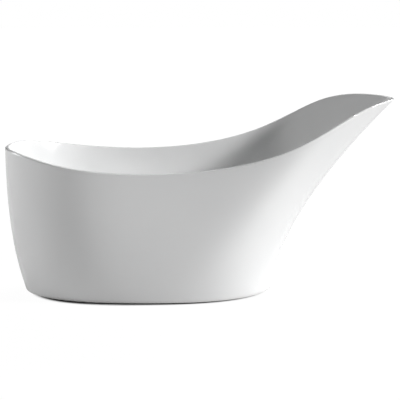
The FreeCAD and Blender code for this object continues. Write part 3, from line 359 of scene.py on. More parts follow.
def bathingSkinSurface():
    # rings from the seam over the rim, down the well, across floor, dish and hole, back underneath
    skin, lip, rounding = (tub[k] for k in ("skin", "lipDepth", "rimRound"))
    floor, corner = tub["wellFloor"], tub["wellCorner"]
    cornerTop = floor + corner

    def wall(shares, depthBelow):
        # a share of the height between corner and rim, in by the well's draw; the back face is
        # a wall's thickness further out
        height = cornerTop + (rimLevel - cornerTop) * shares
        distance = wellDraw(angles, height)
        if depthBelow:
            distance = distance - levelWidth(angles, height, depthBelow)
        return inward(angles, height, distance)

    def cornerRows(turns, depthBelow):
        # quarter circle: height = centre - r cos t, and in from the wall by r (1 - sin t)
        radius = corner + depthBelow
        height = cornerTop - radius * np.cos(turns) + 0 * angles
        distance = wellDraw(angles, height) + radius * (1 - np.sin(turns))
        if depthBelow:
            distance = distance - levelWidth(angles, height, depthBelow)
        return inward(angles, height, distance)

    def floorRows(ring, shares, radius, level):
        # straight from the floor's outline towards a circle round the waste, seen from its centre
        centre = np.array([waste["x"], 0, 0])
        toward = ring - centre
        direction = np.arctan2(toward[..., 1], toward[..., 0])
        circle = centre + np.stack([radius * np.cos(direction), radius * np.sin(direction),
                                    np.broadcast_to(level, direction.shape)], -1)
        rows = ring + (circle - ring) * shares
        rows[..., 2] = level
        return rows, direction

    def dishRows(direction, radii, levels):
        # circles round the waste: centre + radius (cos a, sin a), each at its level
        return np.stack([waste["x"] + radii * np.cos(direction), radii * np.sin(direction),
                         np.broadcast_to(levels, (len(radii), direction.shape[1]))], -1)

    turns = np.radians(np.linspace(88, 0, rings["corner"]))[:, None]
    wallTop = 0.99   # share of the wall's height below the rim's rounding
    wallShares = ((1 - np.cos(np.linspace(0, np.pi, rings["wellFace"]))) / 2 * wallTop)[::-1][:, None]
    face = wall(wallShares, 0)
    rimInner = bendRows(atRim(tub["rimWidth"] - rounding, 0), atRim(tub["rimWidth"], 0), face[:1])
    bend = cornerRows(turns, 0)
    flatRing = cornerRows(np.zeros((1, 1)), 0)
    floorShares = np.array([0, 0.04, 0.15, 0.3, 0.45, 0.6, 0.75, 0.88, 0.97])[:, None, None]
    flat, direction = floorRows(flatRing, floorShares, waste["dish"] + 0.012, floor)
    slope = np.linspace(0, 1, rings["dish"])[:, None]
    ease = slope ** 2 * (3 - 2 * slope)
    dishOut, dishIn = 0.010, 0.006   # the dish's slope runs from outside its radius to inside it
    dish = dishRows(direction, waste["dish"] + dishOut - (dishOut + dishIn) * slope,
                    floor - waste["dishDepth"] * ease)
    sink = floor - waste["dishDepth"]
    # rounded edges: how far each row is outside the hole or boss, and how far below its face
    edgeOut, edgeDown = np.array([0.0015, 0.0005, 0]), np.array([0, 0.0002, 0.0008])
    holeRadii = waste["hole"] + np.concatenate([edgeOut, edgeOut[::-1]])
    holeDrops = np.concatenate([edgeDown, skin - edgeDown[::-1]])
    bossRadii = waste["boss"] + np.array([-0.0015, -0.0005, 0, 0.0005, 0.0015])
    bossDrops = skin - np.array([0, 0.0005, 0.0015, skin - 0.0004, skin])
    hole = dishRows(direction, np.append(waste["dishFlat"], holeRadii)[:, None],
                    sink - np.append(0, holeDrops)[:, None])
    boss = dishRows(direction, np.append(waste["dishFlat"], bossRadii)[:, None],
                    sink - np.append(skin, bossDrops)[:, None])
    underRing = cornerRows(np.zeros((1, 1)), skin)
    under, _ = floorRows(underRing, floorShares[::-1], waste["boss"] + 0.006, floor - skin)
    underBend = cornerRows(turns[::-1], skin)
    back = wall(np.linspace(0.01, 0.985, rings["wellBack"])[:, None], skin)
    underLip = inward(angles, rimLevel - lip, wellDraw(angles, rimLevel - lip)
                      - levelWidth(angles, rimLevel - lip, skin))
    middle = tub["rimWidth"] / 2 + tub["seamGap"]
    lipEnd = atRim(middle, lip)
    seam = bendRows(atRim(middle, tub["seamDrop"]), atRim(middle, 0),
                    atRim(middle + tub["seamRound"], 0), 2)
    lipTop = np.concatenate([atRim(d, 0) for d in (
        middle + tub["seamHold"], tub["rimWidth"] - rounding - tub["rimHold"])])
    rows = np.concatenate([lipTop, rimInner, face[1:], bend, flat, dish, hole, boss, under,
                           underBend[1:], back, underLip, lipEnd, seam])
    return rows.reshape(-1, 3), gridFaces(len(rows), tub["columns"], True, True)


# finishes

def newGroup(name, inputs, outputs):
    group = bpy.data.node_groups.new(name, "ShaderNodeTree")
    for title, kind, value in inputs:
        socket = group.interface.new_socket(title, in_out="INPUT", socket_type=kind)
        if value is not None:
            socket.default_value = value
    for title, kind in outputs:
        group.interface.new_socket(title, in_out="OUTPUT", socket_type=kind)
    return group, group.nodes, group.links, group.nodes.new("NodeGroupInput"), group.nodes.new(
        "NodeGroupOutput")


def objectNoise(nodes, links, scale, detail=4.0, stretch=None):
    # noise on Object coordinates, its scale a number or a socket; stretch squeezes it along axes
    place = nodes.new("ShaderNodeTexCoord").outputs["Object"]
    if stretch:
        mapping = nodes.new("ShaderNodeMapping")
        mapping.inputs["Scale"].default_value = stretch
        links.new(place, mapping.inputs["Vector"])
        place = mapping.outputs["Vector"]
    noise = nodes.new("ShaderNodeTexNoise")
    noise.inputs["Detail"].default_value = detail
    links.new(place, noise.inputs["Vector"])
    if isinstance(scale, (int, float)):
        noise.inputs["Scale"].default_value = scale
    else:
        links.new(scale, noise.inputs["Scale"])
    return noise.outputs["Fac"]


def mixColours(nodes, links, share, first, second):
    mix = nodes.new("ShaderNodeMix")
    mix.data_type = "RGBA"
    for value, socket in ((share, mix.inputs[0]), (first, mix.inputs[6]), (second, mix.inputs[7])):
        if isinstance(value, (int, float, tuple)):
            socket.default_value = value
        else:
            links.new(value, socket)
    return mix.outputs[2]


def mapped(nodes, links, value, low, high, newLow, newHigh):
    scaled = nodes.new("ShaderNodeMapRange")
    for socket, given in zip(("Value", "From Min", "From Max", "To Min", "To Max"),
                             (value, low, high, newLow, newHigh)):
        if isinstance(given, (int, float)):
            scaled.inputs[socket].default_value = given
        else:
            links.new(given, scaled.inputs[socket])
    return scaled.outputs["Result"]


def handlingGroup():
    # slow blotches shift the colour and the gloss, and a fine noise gives the height
    group, nodes, links, given, result = newGroup("handling", [
        ("Blotch Scale", "NodeSocketFloat", 4.0), ("Fine Scale", "NodeSocketFloat", 200.0),
        ("Colour", "NodeSocketColor", None), ("Worn Colour", "NodeSocketColor", None),
        ("Roughness", "NodeSocketFloat", 0.3), ("Worn Roughness", "NodeSocketFloat", 0.5)],
        [("Colour", "NodeSocketColor"), ("Roughness", "NodeSocketFloat"), ("Height", "NodeSocketFloat")])
    blotch = objectNoise(nodes, links, given.outputs["Blotch Scale"], 5.0)
    share = mapped(nodes, links, blotch, 0.35, 0.7, 0.0, 1.0)
    fine = objectNoise(nodes, links, given.outputs["Fine Scale"], 2.0)
    links.new(mixColours(nodes, links, share, given.outputs["Colour"], given.outputs["Worn Colour"]),
              result.inputs["Colour"])
    links.new(mapped(nodes, links, share, 0.0, 1.0, given.outputs["Roughness"],
                     given.outputs["Worn Roughness"]), result.inputs["Roughness"])
    links.new(fine, result.inputs["Height"])
    return group


def woodGroup():
    # grain is noise drawn out along X; plies are bands across the board, light and dark in turn
    group, nodes, links, given, result = newGroup("woodGrain", [
        ("Across", "NodeSocketFloat", 0.0), ("Plies per Metre", "NodeSocketFloat", 0.0),
        ("Light Wood", "NodeSocketColor", None), ("Dark Wood", "NodeSocketColor", None)],
        [("Colour", "NodeSocketColor"), ("Roughness", "NodeSocketFloat"), ("Height", "NodeSocketFloat")])
    grain = objectNoise(nodes, links, 60.0, 6.0, (0.06, 1.0, 1.0))
    turns = nodes.new("ShaderNodeMath")
    turns.operation = "MULTIPLY"
    links.new(given.outputs["Across"], turns.inputs[0])
    links.new(given.outputs["Plies per Metre"], turns.inputs[1])
    band = nodes.new("ShaderNodeMath")
    band.operation = "SINE"
    links.new(turns.outputs[0], band.inputs[0])
    ply = mapped(nodes, links, band.outputs[0], -0.2, 0.2, 0.0, 0.45)
    share = nodes.new("ShaderNodeMath")
    share.operation = "ADD"
    links.new(mapped(nodes, links, grain, 0.35, 0.65, 0.0, 0.55), share.inputs[0])
    links.new(ply, share.inputs[1])
    links.new(mixColours(nodes, links, share.outputs[0], given.outputs["Light Wood"],
                         given.outputs["Dark Wood"]), result.inputs["Colour"])
    links.new(mapped(nodes, links, grain, 0.3, 0.7, 0.55, 0.8), result.inputs["Roughness"])
    links.new(grain, result.inputs["Height"])
    return group


handling = handlingGroup()
woodGrain = woodGroup()


def newMaterial(name, **values):
    # an underscore in a value's name stands for the space in its socket's name
    material = bpy.data.materials.new(name)
    material.use_nodes = True
    nodes = material.node_tree.nodes
    shader = nodes["Principled BSDF"]
    for socket, value in values.items():
        shader.inputs[socket.replace("_", " ")].default_value = value
    return material, nodes, material.node_tree.links, shader


def addBump(nodes, links, shader, height, distance, strength=1.0):
    bump = nodes.new("ShaderNodeBump")
    bump.inputs["Distance"].default_value = distance
    bump.inputs["Strength"].default_value = strength
    links.new(height, bump.inputs["Height"])
    links.new(bump.outputs["Normal"], shader.inputs["Normal"])
    return bump


def handledMaterial(name, colour, worn, roughness, blotch, fine, depth, **values):
    # a moulded, plated or machined surface with the handling group's blotches and fine relief
    material, nodes, links, shader = newMaterial(name, **values)
    group = nodes.new("ShaderNodeGroup")
    group.node_tree = handling
    for title, value in (("Blotch Scale", blotch), ("Fine Scale", fine), ("Colour", (*colour, 1)),
                         ("Worn Colour", (*worn, 1)), ("Roughness", roughness[0]),
                         ("Worn Roughness", roughness[1])):
        group.inputs[title].default_value = value
    links.new(group.outputs["Colour"], shader.inputs["Base Color"])
    links.new(group.outputs["Roughness"], shader.inputs["Roughness"])
    addBump(nodes, links, shader, group.outputs["Height"], depth)
    return material, nodes, links, shader, group


def woodMaterial(name, axis, plies, light, dark):
    # the plies are counted along that axis of the piece's own coordinates
    material, nodes, links, shader = newMaterial(name)
    group = nodes.new("ShaderNodeGroup")
    group.node_tree = woodGrain
    place = nodes.new("ShaderNodeTexCoord")
    parts = nodes.new("ShaderNodeSeparateXYZ")
    links.new(place.outputs["Object"], parts.inputs[0])
    links.new(parts.outputs[axis], group.inputs["Across"])
    group.inputs["Plies per Metre"].default_value = plies
    group.inputs["Light Wood"].default_value = (*light, 1)
    group.inputs["Dark Wood"].default_value = (*dark, 1)
    links.new(group.outputs["Colour"], shader.inputs["Base Color"])
    links.new(group.outputs["Roughness"], shader.inputs["Roughness"])
    addBump(nodes, links, shader, group.outputs["Height"], 0.0004)
    return material


finish = {
    # colour, worn colour, roughness and worn roughness, blotch and fine scales, relief in metres
    "acrylic": ((0.865, 0.868, 0.868), (0.85, 0.855, 0.857), (0.12, 0.2), 3.0, 90.0, 0.00006),
    "bond": ((0.78, 0.77, 0.73), (0.7, 0.68, 0.63), (0.5, 0.7), 25.0, 300.0, 0.0003),
    "blackPlastic": ((0.022, 0.022, 0.024), (0.05, 0.05, 0.05), (0.42, 0.6), 30.0, 1500.0, 0.00005),
    "whitePlastic": ((0.80, 0.80, 0.78), (0.72, 0.72, 0.69), (0.32, 0.48), 20.0, 900.0, 0.00003),
    "hosePlastic": ((0.62, 0.64, 0.64), (0.52, 0.54, 0.54), (0.35, 0.5), 15.0, 600.0, 0.00004),
    "rubber": ((0.02, 0.02, 0.021), (0.05, 0.048, 0.046), (0.65, 0.85), 40.0, 1800.0, 0.00005),
    "chrome": ((0.80, 0.81, 0.83), (0.72, 0.73, 0.74), (0.05, 0.14), 35.0, 500.0, 0.000004),
    "stainless": ((0.60, 0.60, 0.59), (0.5, 0.5, 0.5), (0.22, 0.36), 30.0, 1200.0, 0.00002),
    "springSteel": ((0.42, 0.42, 0.43), (0.3, 0.3, 0.31), (0.25, 0.4), 60.0, 1500.0, 0.00002),
    "brass": ((0.68, 0.50, 0.22), (0.5, 0.35, 0.15), (0.22, 0.42), 45.0, 900.0, 0.00002),
    "zincScrew": ((0.62, 0.58, 0.42), (0.5, 0.46, 0.36), (0.3, 0.5), 80.0, 1500.0, 0.00003),
}
metals = ("chrome", "stainless", "springSteel", "brass", "zincScrew")
# painted shade: a faint dull darker band on the skins just above the floor
skinFootShade = {"full": 0.006, "gone": 0.02, "share": 0.35, "colour": (0.5, 0.49, 0.46, 1)}
materials = {}
for title, values in finish.items():
    made = handledMaterial(title, *values, Metallic=1.0 if title in metals else 0.0)
    materials[title] = made[0]
    if title == "acrylic":
        _, nodes, links, shader, group = made
        shader.inputs["IOR"].default_value = 1.49
        place = nodes.new("ShaderNodeTexCoord")
        parts = nodes.new("ShaderNodeSeparateXYZ")
        links.new(place.outputs["Object"], parts.inputs[0])
        # painted shade: the base colour is mixed towards the shade colour, fully at the lowest height and
        # not at all above the highest
        low = mapped(nodes, links, parts.outputs["Z"], skinFootShade["full"], skinFootShade["gone"],
                     skinFootShade["share"], 0.0)
        shadedBase = mixColours(nodes, links, low, group.outputs["Colour"], skinFootShade["colour"])
        links.new(shadedBase, shader.inputs["Base Color"])

# hot-dip zinc: each crystal of the coating has its own grey and its own gloss
zincCrystal = {"scale": 110.0, "paleShare": 0.6, "pale": (0.72, 0.74, 0.76, 1), "roughness": (0.28, 0.5)}
galvanised, nodes, links, shader, group = handledMaterial(
    "galvanised", (0.56, 0.58, 0.6), (0.42, 0.43, 0.44), (0.3, 0.5), 12.0, 700.0, 0.00003,
    Metallic=1.0)
crystals = nodes.new("ShaderNodeTexVoronoi")
crystals.inputs["Scale"].default_value = zincCrystal["scale"]
place = nodes.new("ShaderNodeTexCoord")
links.new(place.outputs["Object"], crystals.inputs["Vector"])
grey = nodes.new("ShaderNodeRGBToBW")
links.new(crystals.outputs["Color"], grey.inputs[0])
shade = mapped(nodes, links, grey.outputs[0], 0.2, 0.8, 0.0, zincCrystal["paleShare"])
links.new(mixColours(nodes, links, shade, group.outputs["Colour"], zincCrystal["pale"]),
          shader.inputs["Base Color"])
links.new(mapped(nodes, links, grey.outputs[0], 0.2, 0.8, *zincCrystal["roughness"]),
          shader.inputs["Roughness"])
materials["galvanised"] = galvanised

ply = ((0.62, 0.46, 0.29), (0.42, 0.28, 0.15))
boardLow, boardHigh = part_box("base_board")
plyPairs = 5   # light plies in the board's thickness, with as many dark ones
pliesPerMetre = 2 * math.pi * plyPairs / (boardHigh.z - boardLow.z)   # as an angle
materials["plywoodFlat"] = woodMaterial("plywoodFlat", "Z", pliesPerMetre, *ply)
materials["plywoodUpright"] = woodMaterial("plywoodUpright", "Y", pliesPerMetre, *ply)
materials["timber"] = woodMaterial("timber", "Z", 0.0, (0.60, 0.43, 0.25), (0.42, 0.27, 0.14))
print("finishes made:", len(materials))


# the frame's own nodes that keep their shape

keptFinish = {
    "plywoodFlat": ("base_board",), "plywoodUpright": ("back_rib_near", "back_rib_far"),
    "timber": ("skirt_blocks",),
    "galvanised": ("rail_near", "rail_far", "cross_member_foot", "cross_member_middle",
                   "cross_member_back", "skirt_brackets"),
    "blackPlastic": ("tube_end_caps",),
    "brass": ("waste_cartridge",),
    "zincScrew": ("frame_screws", "bracket_screws"),
    "rubber": ("overflow_gasket_front", "overflow_gasket_back"),
    "whitePlastic": ("waste_tee", "outlet_tail", "overflow_elbow"),
    "stainless": ("overflow_strainer", "overflow_screw", "hose_clamps"),
}
for title, names in keptFinish.items():
    for name in names:
        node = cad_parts[name]
        if not node.material_slots:
            node.data.materials.append(materials[title])
        for materialSlot in node.material_slots:
            materialSlot.material = materials[title]


# skins

adhesive = {"clearance": 0.0005, "depth": 0.014, "belowLip": 0.0002, "drawnUp": 0.0015}


def adhesiveSurface():
    # bead between the skins: its sides follow them, and its underside is drawn up in the middle
    clearance = adhesive["clearance"]
    heights = rimLevel - np.linspace(tub["lipDepth"] + adhesive["belowLip"], adhesive["depth"], 5)[:, None]
    fromSkirt = inward(angles, heights, levelWidth(angles, heights, tub["skin"]) + clearance)
    fromWell = inward(angles, heights, wellDraw(angles, heights)
                      - levelWidth(angles, heights, tub["skin"]) - clearance)
    across = np.linspace(0, 1, 7)[1:-1, None, None]
    low = fromSkirt[-1:] + (fromWell[-1:] - fromSkirt[-1:]) * across
    low[..., 2] += adhesive["drawnUp"] * (1 - (2 * across[..., 0] - 1) ** 2)
    high = fromWell[:1] + (fromSkirt[:1] - fromWell[:1]) * across
    rows = np.concatenate([fromSkirt, low, fromWell[::-1], high])
    return rows.reshape(-1, 3), gridFaces(len(rows), tub["columns"], True, True)


addPiece("outerSkin", [outerSkinSurface()], materials["acrylic"], "root", ["outer_shell"])
bathingSkin = addPiece("bathingSkin", [bathingSkinSurface()], materials["acrylic"], "root",
                       ["inner_shell"])
addPiece("rimAdhesive", [adhesiveSurface()], materials["bond"], "root", ["rim_bond"])
print("skins made")


# the overflow's own frame: Z out of the foot wall into the bath, X down along the wall

overflow = {"height": 0.545, "hole": 0.022, "holeReach": 0.02, "holeSides": 96}


def overflowFrame(step=0.005):
    # up is the wall's own slope between a step below the overflow and a step above it
    levels = overflow["height"] + np.array([-step, 0, step])
    foot = np.full(3, np.pi)
    low, face, high = inward(foot, levels, wellDraw(foot, levels))
    up = (high - low) / np.linalg.norm(high - low)
    return face, np.array([-up, (0, 1, 0), (up[2], 0, -up[0])])


overflowOrigin, overflowAxes = overflowFrame()


def onOverflow(surface):
    # place = origin + x down the wall + y across + z out of it
    points, faces = surface
    return points @ overflowAxes + overflowOrigin, faces


def cutOverflowHole(piece):
    # round hole square to the wall, cut by a closed drum that is then removed; the drum is turned
    # half a step so that none of its edges lies along one of the wall's
    radius, reach = overflow["hole"], overflow["holeReach"]
    drum = softProfile([(0, -reach), (radius, -reach), (radius, reach), (0, reach)], 0)
    points, faces = onOverflow(turnedSurface(drum, columns=overflow["holeSides"], start=0.5))
    if signedVolume(points, faces) < 0:
        faces = faces[:, ::-1]
    mesh = bpy.data.meshes.new("overflowDrum")
    mesh.from_pydata(points.tolist(), [], faces.tolist())
    mergePoints(mesh)
    cutter = bpy.data.objects.new("overflowDrum", mesh)
    scene.collection.objects.link(cutter)
    hole = piece.modifiers.new("overflowHole", "BOOLEAN")
    hole.object = cutter
    hole.solver = "EXACT"
    bpy.context.view_layer.update()
    shaped = piece.evaluated_get(bpy.context.evaluated_depsgraph_get())
    cutMesh = bpy.data.meshes.new_from_object(shaped)
    piece.modifiers.clear()
    piece.data = cutMesh
    bpy.data.objects.remove(cutter)


cutOverflowHole(bathingSkin)
print("overflow hole cut")


# turned pieces of the waste, as radii and heights

wasteCentre = (waste["x"], 0, 0)
popUpCap = {"radius": 0.031, "under": 0.1505, "side": 0.1525, "crown": 0.1545, "crownRise": 0.0008,
            "crownRows": 9, "collar": 0.012, "guide": 0.005, "guideLow": 0.128, "guideTop": 0.150,
            "stem": 0.003, "stemLow": 0.100, "round": 0.0005}


def capProfile(cap):
    # stem, guide and disc; the disc's crown rises by crownRise (1 - (r / radius)^2)
    stem, guide, radius, under = (cap[k] for k in ("stem", "guide", "radius", "under"))
    across = np.linspace(radius - 0.001, stem, cap["crownRows"])
    crown = cap["crown"] + cap["crownRise"] * (1 - (across / radius) ** 2)
    return np.concatenate([
        [(0, cap["stemLow"]), (stem, cap["stemLow"]), (stem, cap["guideLow"]), (guide, cap["guideLow"]),
         (guide, cap["guideTop"]), (cap["collar"], under), (radius, under), (radius, cap["side"])],
        np.stack([across, crown], -1), [(0, cap["crown"] + cap["crownRise"])]])


addPiece("popUpCap", [turnedSurface(softProfile(capProfile(popUpCap), popUpCap["round"]), wasteCentre, 96)],
         materials["chrome"], "cap", ["waste_cap"])

rubberRings = {
    "capSealRing": {"bore": 0.0205, "radius": 0.0275, "low": 0.1485, "high": 0.1503, "round": 0.0007,
                    "body": "cap", "node": "cap_seal"},
    "upperWasher": {"bore": 0.026, "radius": 0.034, "low": 0.1450, "high": 0.1475, "round": 0.0008,
                    "body": "root", "node": "waste_gasket_upper"},
    "lowerWasher": {"bore": 0.02396, "radius": 0.035, "low": 0.1375, "high": 0.1400, "round": 0.0008,
                    "body": "root", "node": "waste_gasket_lower"},
}
for name, ring in rubberRings.items():
    bore, radius, low, high = (ring[k] for k in ("bore", "radius", "low", "high"))
    section = softProfile([(bore, low), (radius, low), (radius, high), (bore, high)], ring["round"])
    addPiece(name, [turnedSurface(section, wasteCentre)], materials["rubber"], ring["body"],
             [ring["node"]])

drainFlange = {"bore": 0.0205, "bottom": 0.1039, "lead": 0.0230, "threadEnd": 0.1380,
               "under": 0.1475, "radius": 0.035, "side": 0.1487, "topOut": 0.0338, "topIn": 0.0295,
               "top": 0.1499, "seatOut": 0.0288, "seat": 0.1482, "leadRound": 0.0003, "round": 0.0004}
drainThread = {"radius": 0.0239, "low": 0.1045, "high": 0.1365, "pitch": 0.00231, "depth": 0.0010}


def flangeProfile(flange, thread):
    # lead at the body's lower end, the thread's rows, then the flange and the bore down again;
    # each softened stretch leaves out the rows of the corners that it only borrows
    bore, under, top = (flange[k] for k in ("bore", "under", "top"))
    lead = [(bore, flange["bottom"]), (flange["lead"], flange["bottom"]), (thread["radius"], thread["low"])]
    rest = [(thread["radius"], flange["threadEnd"]), (thread["radius"], under), (flange["radius"], under),
            (flange["radius"], flange["side"]), (flange["topOut"], top), (flange["topIn"], top),
            (flange["seatOut"], flange["seat"]), (bore, flange["seat"]), (bore, flange["bottom"])]
    return np.concatenate([softProfile(lead, flange["leadRound"])[4:-8], threadRows(thread),
                           softProfile(rest, flange["round"])[2:-2]])


addPiece("drainFlange", [turnedSurface(flangeProfile(drainFlange, drainThread), wasteCentre, 96,
                                       threadShape(drainThread))],
         materials["chrome"], "root", ["waste_flange"])

drainBacknut = {"low": 0.1275, "high": 0.1375, "corner": 0.033, "bore": 0.02396, "chamfer": 0.0022}
addPiece("drainBacknut", [nutSurface(drainBacknut, wasteCentre, 96)], materials["brass"], "root",
         ["waste_backnut"])


outletNut = {"low": 0.028, "high": 0.044, "radius": 0.030, "bore": 0.0196, "ribs": 24,
             "ribDepth": 0.0009, "round": 0.0012, "runOut": 0.002, "lead": 0.0005, "rows": 14}


def gripShape(nut):
    # shallow finger grooves: the radius drops by the rib depth between the ribs, where a cosine
    # of the angle stands above a threshold, and the grooves run out towards both ends
    def shape(radius, height, angle):
        groove = np.clip(np.cos(nut["ribs"] * angle) * 1.6 - 0.3, 0, 1) * nut["ribDepth"]
        onSide = (radius > nut["radius"] - nut["round"]) * np.clip(
            np.minimum(height - nut["low"], nut["high"] - height) / nut["runOut"], 0, 1)
        return radius - groove * onSide
    return shape


def outletNutProfile(nut):
    # rounded lower edge, straight rows of the side, rounded upper edge, and the bore
    low, high, radius, bore, count = (nut[k] for k in ("low", "high", "radius", "bore", "rows"))
    side = np.linspace(low + nut["runOut"], high - nut["runOut"], count)
    return np.concatenate([
        softProfile([(bore, low), (radius, low), (radius, high)], nut["round"])[5:14],
        np.stack([np.full(count, radius), side], -1),
        softProfile([(radius, low), (radius, high), (bore, high)], nut["round"])[7:14],
        [(bore, high - nut["lead"]), (bore, low + nut["lead"])]])


addPiece("outletNut", [turnedSurface(outletNutProfile(outletNut), wasteCentre, 192, gripShape(outletNut))],
         materials["whitePlastic"], "root", ["outlet_nut"])

# the spring: a helix whose first and last turns lie closer together
spring = {"low": 0.1123, "high": 0.1277, "coil": 0.0044, "wire": 0.0005, "turns": 6.4, "steps": 40,
          "ease": 0.09, "sides": 10}


def springSurface():
    # path = coil (cos t, sin t), height = travel (u - ease sin(2 pi u)), so that the ends close up
    u = np.linspace(0, 1, int(spring["turns"] * spring["steps"]))
    turn = 2 * np.pi * spring["turns"] * u
    travel = spring["high"] - spring["low"] - 2 * spring["wire"]
    height = spring["low"] + spring["wire"] + travel * (u - spring["ease"] * np.sin(2 * np.pi * u))
    path = np.stack([waste["x"] + spring["coil"] * np.cos(turn), spring["coil"] * np.sin(turn), height], -1)
    outward = np.stack([np.cos(turn), np.sin(turn), 0 * turn], -1)
    along = np.gradient(path, axis=0)
    along /= np.linalg.norm(along, axis=1, keepdims=True)
    up = np.cross(along, outward)
    rows, sides = len(u) + 2, spring["sides"]
    path = np.concatenate([path[:1], path, path[-1:]])
    outward = np.concatenate([outward[:1], outward, outward[-1:]])
    up = np.concatenate([up[:1], up, up[-1:]])
    radius = np.concatenate([[0], np.full(len(u), spring["wire"]), [0]])
    return sweptSurface(path, outward, up, radius, sides), gridFaces(rows, sides, False, True)


coil = addPiece("cartridgeSpring", [springSurface()], materials["springSteel"], None,
                ["cartridge_spring"])
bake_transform(coil)
print("waste made")


# overflow: cover and hose

# heights are above the wall's face
overflowCover = {"post": (0.007, 0.009), "postFoot": 0.0041, "inside": 0.012, "rim": (0.030, 0.032),
                 "rimFoot": 0.005, "shoulder": 0.0125, "crownOut": (0.030, 0.0138),
                 "crownIn": (0.012, 0.0140),
                 "rounds": (0, .0003, .0003, .0003, .0003, .0008, .0004, .0004, .002, .004, .001, 0)}


def coverProfile(cover):
    # under the disc from its middle: hollow post, inside face, rim, then over the low crown
    (postIn, postOut), (rimIn, rimOut) = cover["post"], cover["rim"]
    inside, postFoot, rimFoot = (cover[k] for k in ("inside", "postFoot", "rimFoot"))
    corners = [(0, inside), (postIn, inside), (postIn, postFoot), (postOut, postFoot), (postOut, inside),
               (rimIn, inside), (rimIn, rimFoot), (rimOut, rimFoot), (rimOut, cover["shoulder"]),
               cover["crownOut"], cover["crownIn"], (0, cover["crownIn"][1])]
    return softProfile(corners, cover["rounds"])


addPiece("overflowCover", [onOverflow(turnedSurface(coverProfile(overflowCover), columns=96))],
         materials["chrome"], "root", ["overflow_cover"])

hose = {"radius": 0.014, "bore": 0.0115, "rib": 0.005, "ribDepth": 0.0011, "sides": 28,
        "perRib": 6, "onElbow": (0.030, 0, -0.0235), "topRun": 0.062, "clamp": 0.010, "runOut": 0.003,
        # corners of its route in the XZ plane, after the first run down the wall
        "corners": ((-0.8445, 0.330), (-0.836, 0.064)), "end": (-0.549, 0.064)}


def hoseLine():
    # the route's corners steer a spline of the second degree, read as close points
    start = np.array(hose["onElbow"]) @ overflowAxes + overflowOrigin
    top = start + overflowAxes[0] * hose["topRun"]
    corners = [start, top] + [(x, 0, z) for x, z in (*hose["corners"], hose["end"])]
    curve = bpy.data.curves.new("hoseRoute", "CURVE")
    curve.dimensions = "3D"
    curve.resolution_u = 48
    route = curve.splines.new("NURBS")
    route.points.add(len(corners) - 1)
    for point, place in zip(route.points, corners):
        point.co = (*place, 1)
    route.order_u = 3
    route.use_endpoint_u = True
    holder = bpy.data.objects.new("hoseRoute", curve)
    scene.collection.objects.link(holder)
    mesh = bpy.data.meshes.new_from_object(holder)
    points = np.empty(len(mesh.vertices) * 3)
    mesh.vertices.foreach_get("co", points)
    bpy.data.objects.remove(holder)
    points = points.reshape(-1, 3)
    gaps = np.linalg.norm(np.diff(points, axis=0), axis=1)
    reached = np.concatenate([[0], np.cumsum(gaps)])
    count = int(reached[-1] / hose["rib"]) * hose["perRib"] + 1
    at = np.linspace(0, reached[-1], count)
    return np.stack([np.interp(at, reached, points[:, i]) for i in range(3)], -1), at


hosePath, hoseLength = hoseLine()


def acrossHose(path):
    # the path stays in the XZ plane, so its own frame is Y and the normal in that plane
    along = np.gradient(path, axis=0)
    along /= np.linalg.norm(along, axis=1, keepdims=True)
    side = np.broadcast_to((0.0, 1.0, 0.0), along.shape)
    return np.cross(along, side), side


def hoseSurface():
    # radius dips by the rib depth once a rib, (1 - cos) / 2 of the length, plain under each clamp
    across, side = acrossHose(hosePath)
    wave = (1 - np.cos(2 * np.pi * hoseLength / hose["rib"])) / 2
    fromEnd = np.minimum(hoseLength, hoseLength[-1] - hoseLength)
    ribbed = np.clip((fromEnd - hose["clamp"]) / hose["runOut"], 0, 1)
    outer = hose["radius"] - hose["ribDepth"] * wave * ribbed
    bore = slice(None, None, -hose["perRib"])
    path = np.concatenate([hosePath, hosePath[bore]])
    across = np.concatenate([across, across[bore]])
    side = np.concatenate([side, side[bore]])
    radius = np.concatenate([outer, np.full(len(hosePath[bore]), hose["bore"])])
    return (sweptSurface(path, across, side, radius, hose["sides"]),
            gridFaces(len(path), hose["sides"], True, True))


addPiece("overflowHose", [hoseSurface()], materials["hosePlastic"], "root",
         ["overflow_hose"])
print("hose made, length", round(float(hoseLength[-1]), 4))


# levelling feet

def footPlace(number):
    # middle of the stud's own box, on the floor
    low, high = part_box(f"foot_stud_{number}")
    return [(low.x + high.x) / 2, (low.y + high.y) / 2, 0]


feet = {number: footPlace(number) for number in range(1, 6)}
footPad = {"radius": 0.025, "edge": 0.005, "neck": 0.011, "high": 0.014, "socket": 0.006, "bore": 0.00606,
           "hollow": (0.015, 0.0005), "tread": 0.016, "waist": (0.0135, 0.0125),
           "rounds": (0, .0004, .0003, .001, .0015, .003, .0006, .0005, .0002, 0)}


def padProfile(pad):
    # hollow underside, tread, flared side up to the neck, and the stud's socket
    radius, bore, high, socket = (pad[k] for k in ("radius", "bore", "high", "socket"))
    corners = [(0, pad["hollow"][1]), pad["hollow"], (pad["tread"], 0), (radius, 0), (radius, pad["edge"]),
               pad["waist"], (pad["neck"], high), (bore, high), (bore, socket), (0, socket)]
    return softProfile(corners, pad["rounds"])


footStud = {"low": 0.0063, "high": 0.096, "tip": 0.0046,
            "lowerThread": {"radius": 0.006, "low": 0.0075, "high": 0.018, "pitch": 0.00175,
                            "depth": 0.0007},
            "upperThread": {"radius": 0.006, "low": 0.0240, "high": 0.0945, "pitch": 0.00175,
                            "depth": 0.0007},
            "hexagon": {"low": 0.018, "high": 0.024, "corner": 0.009}}


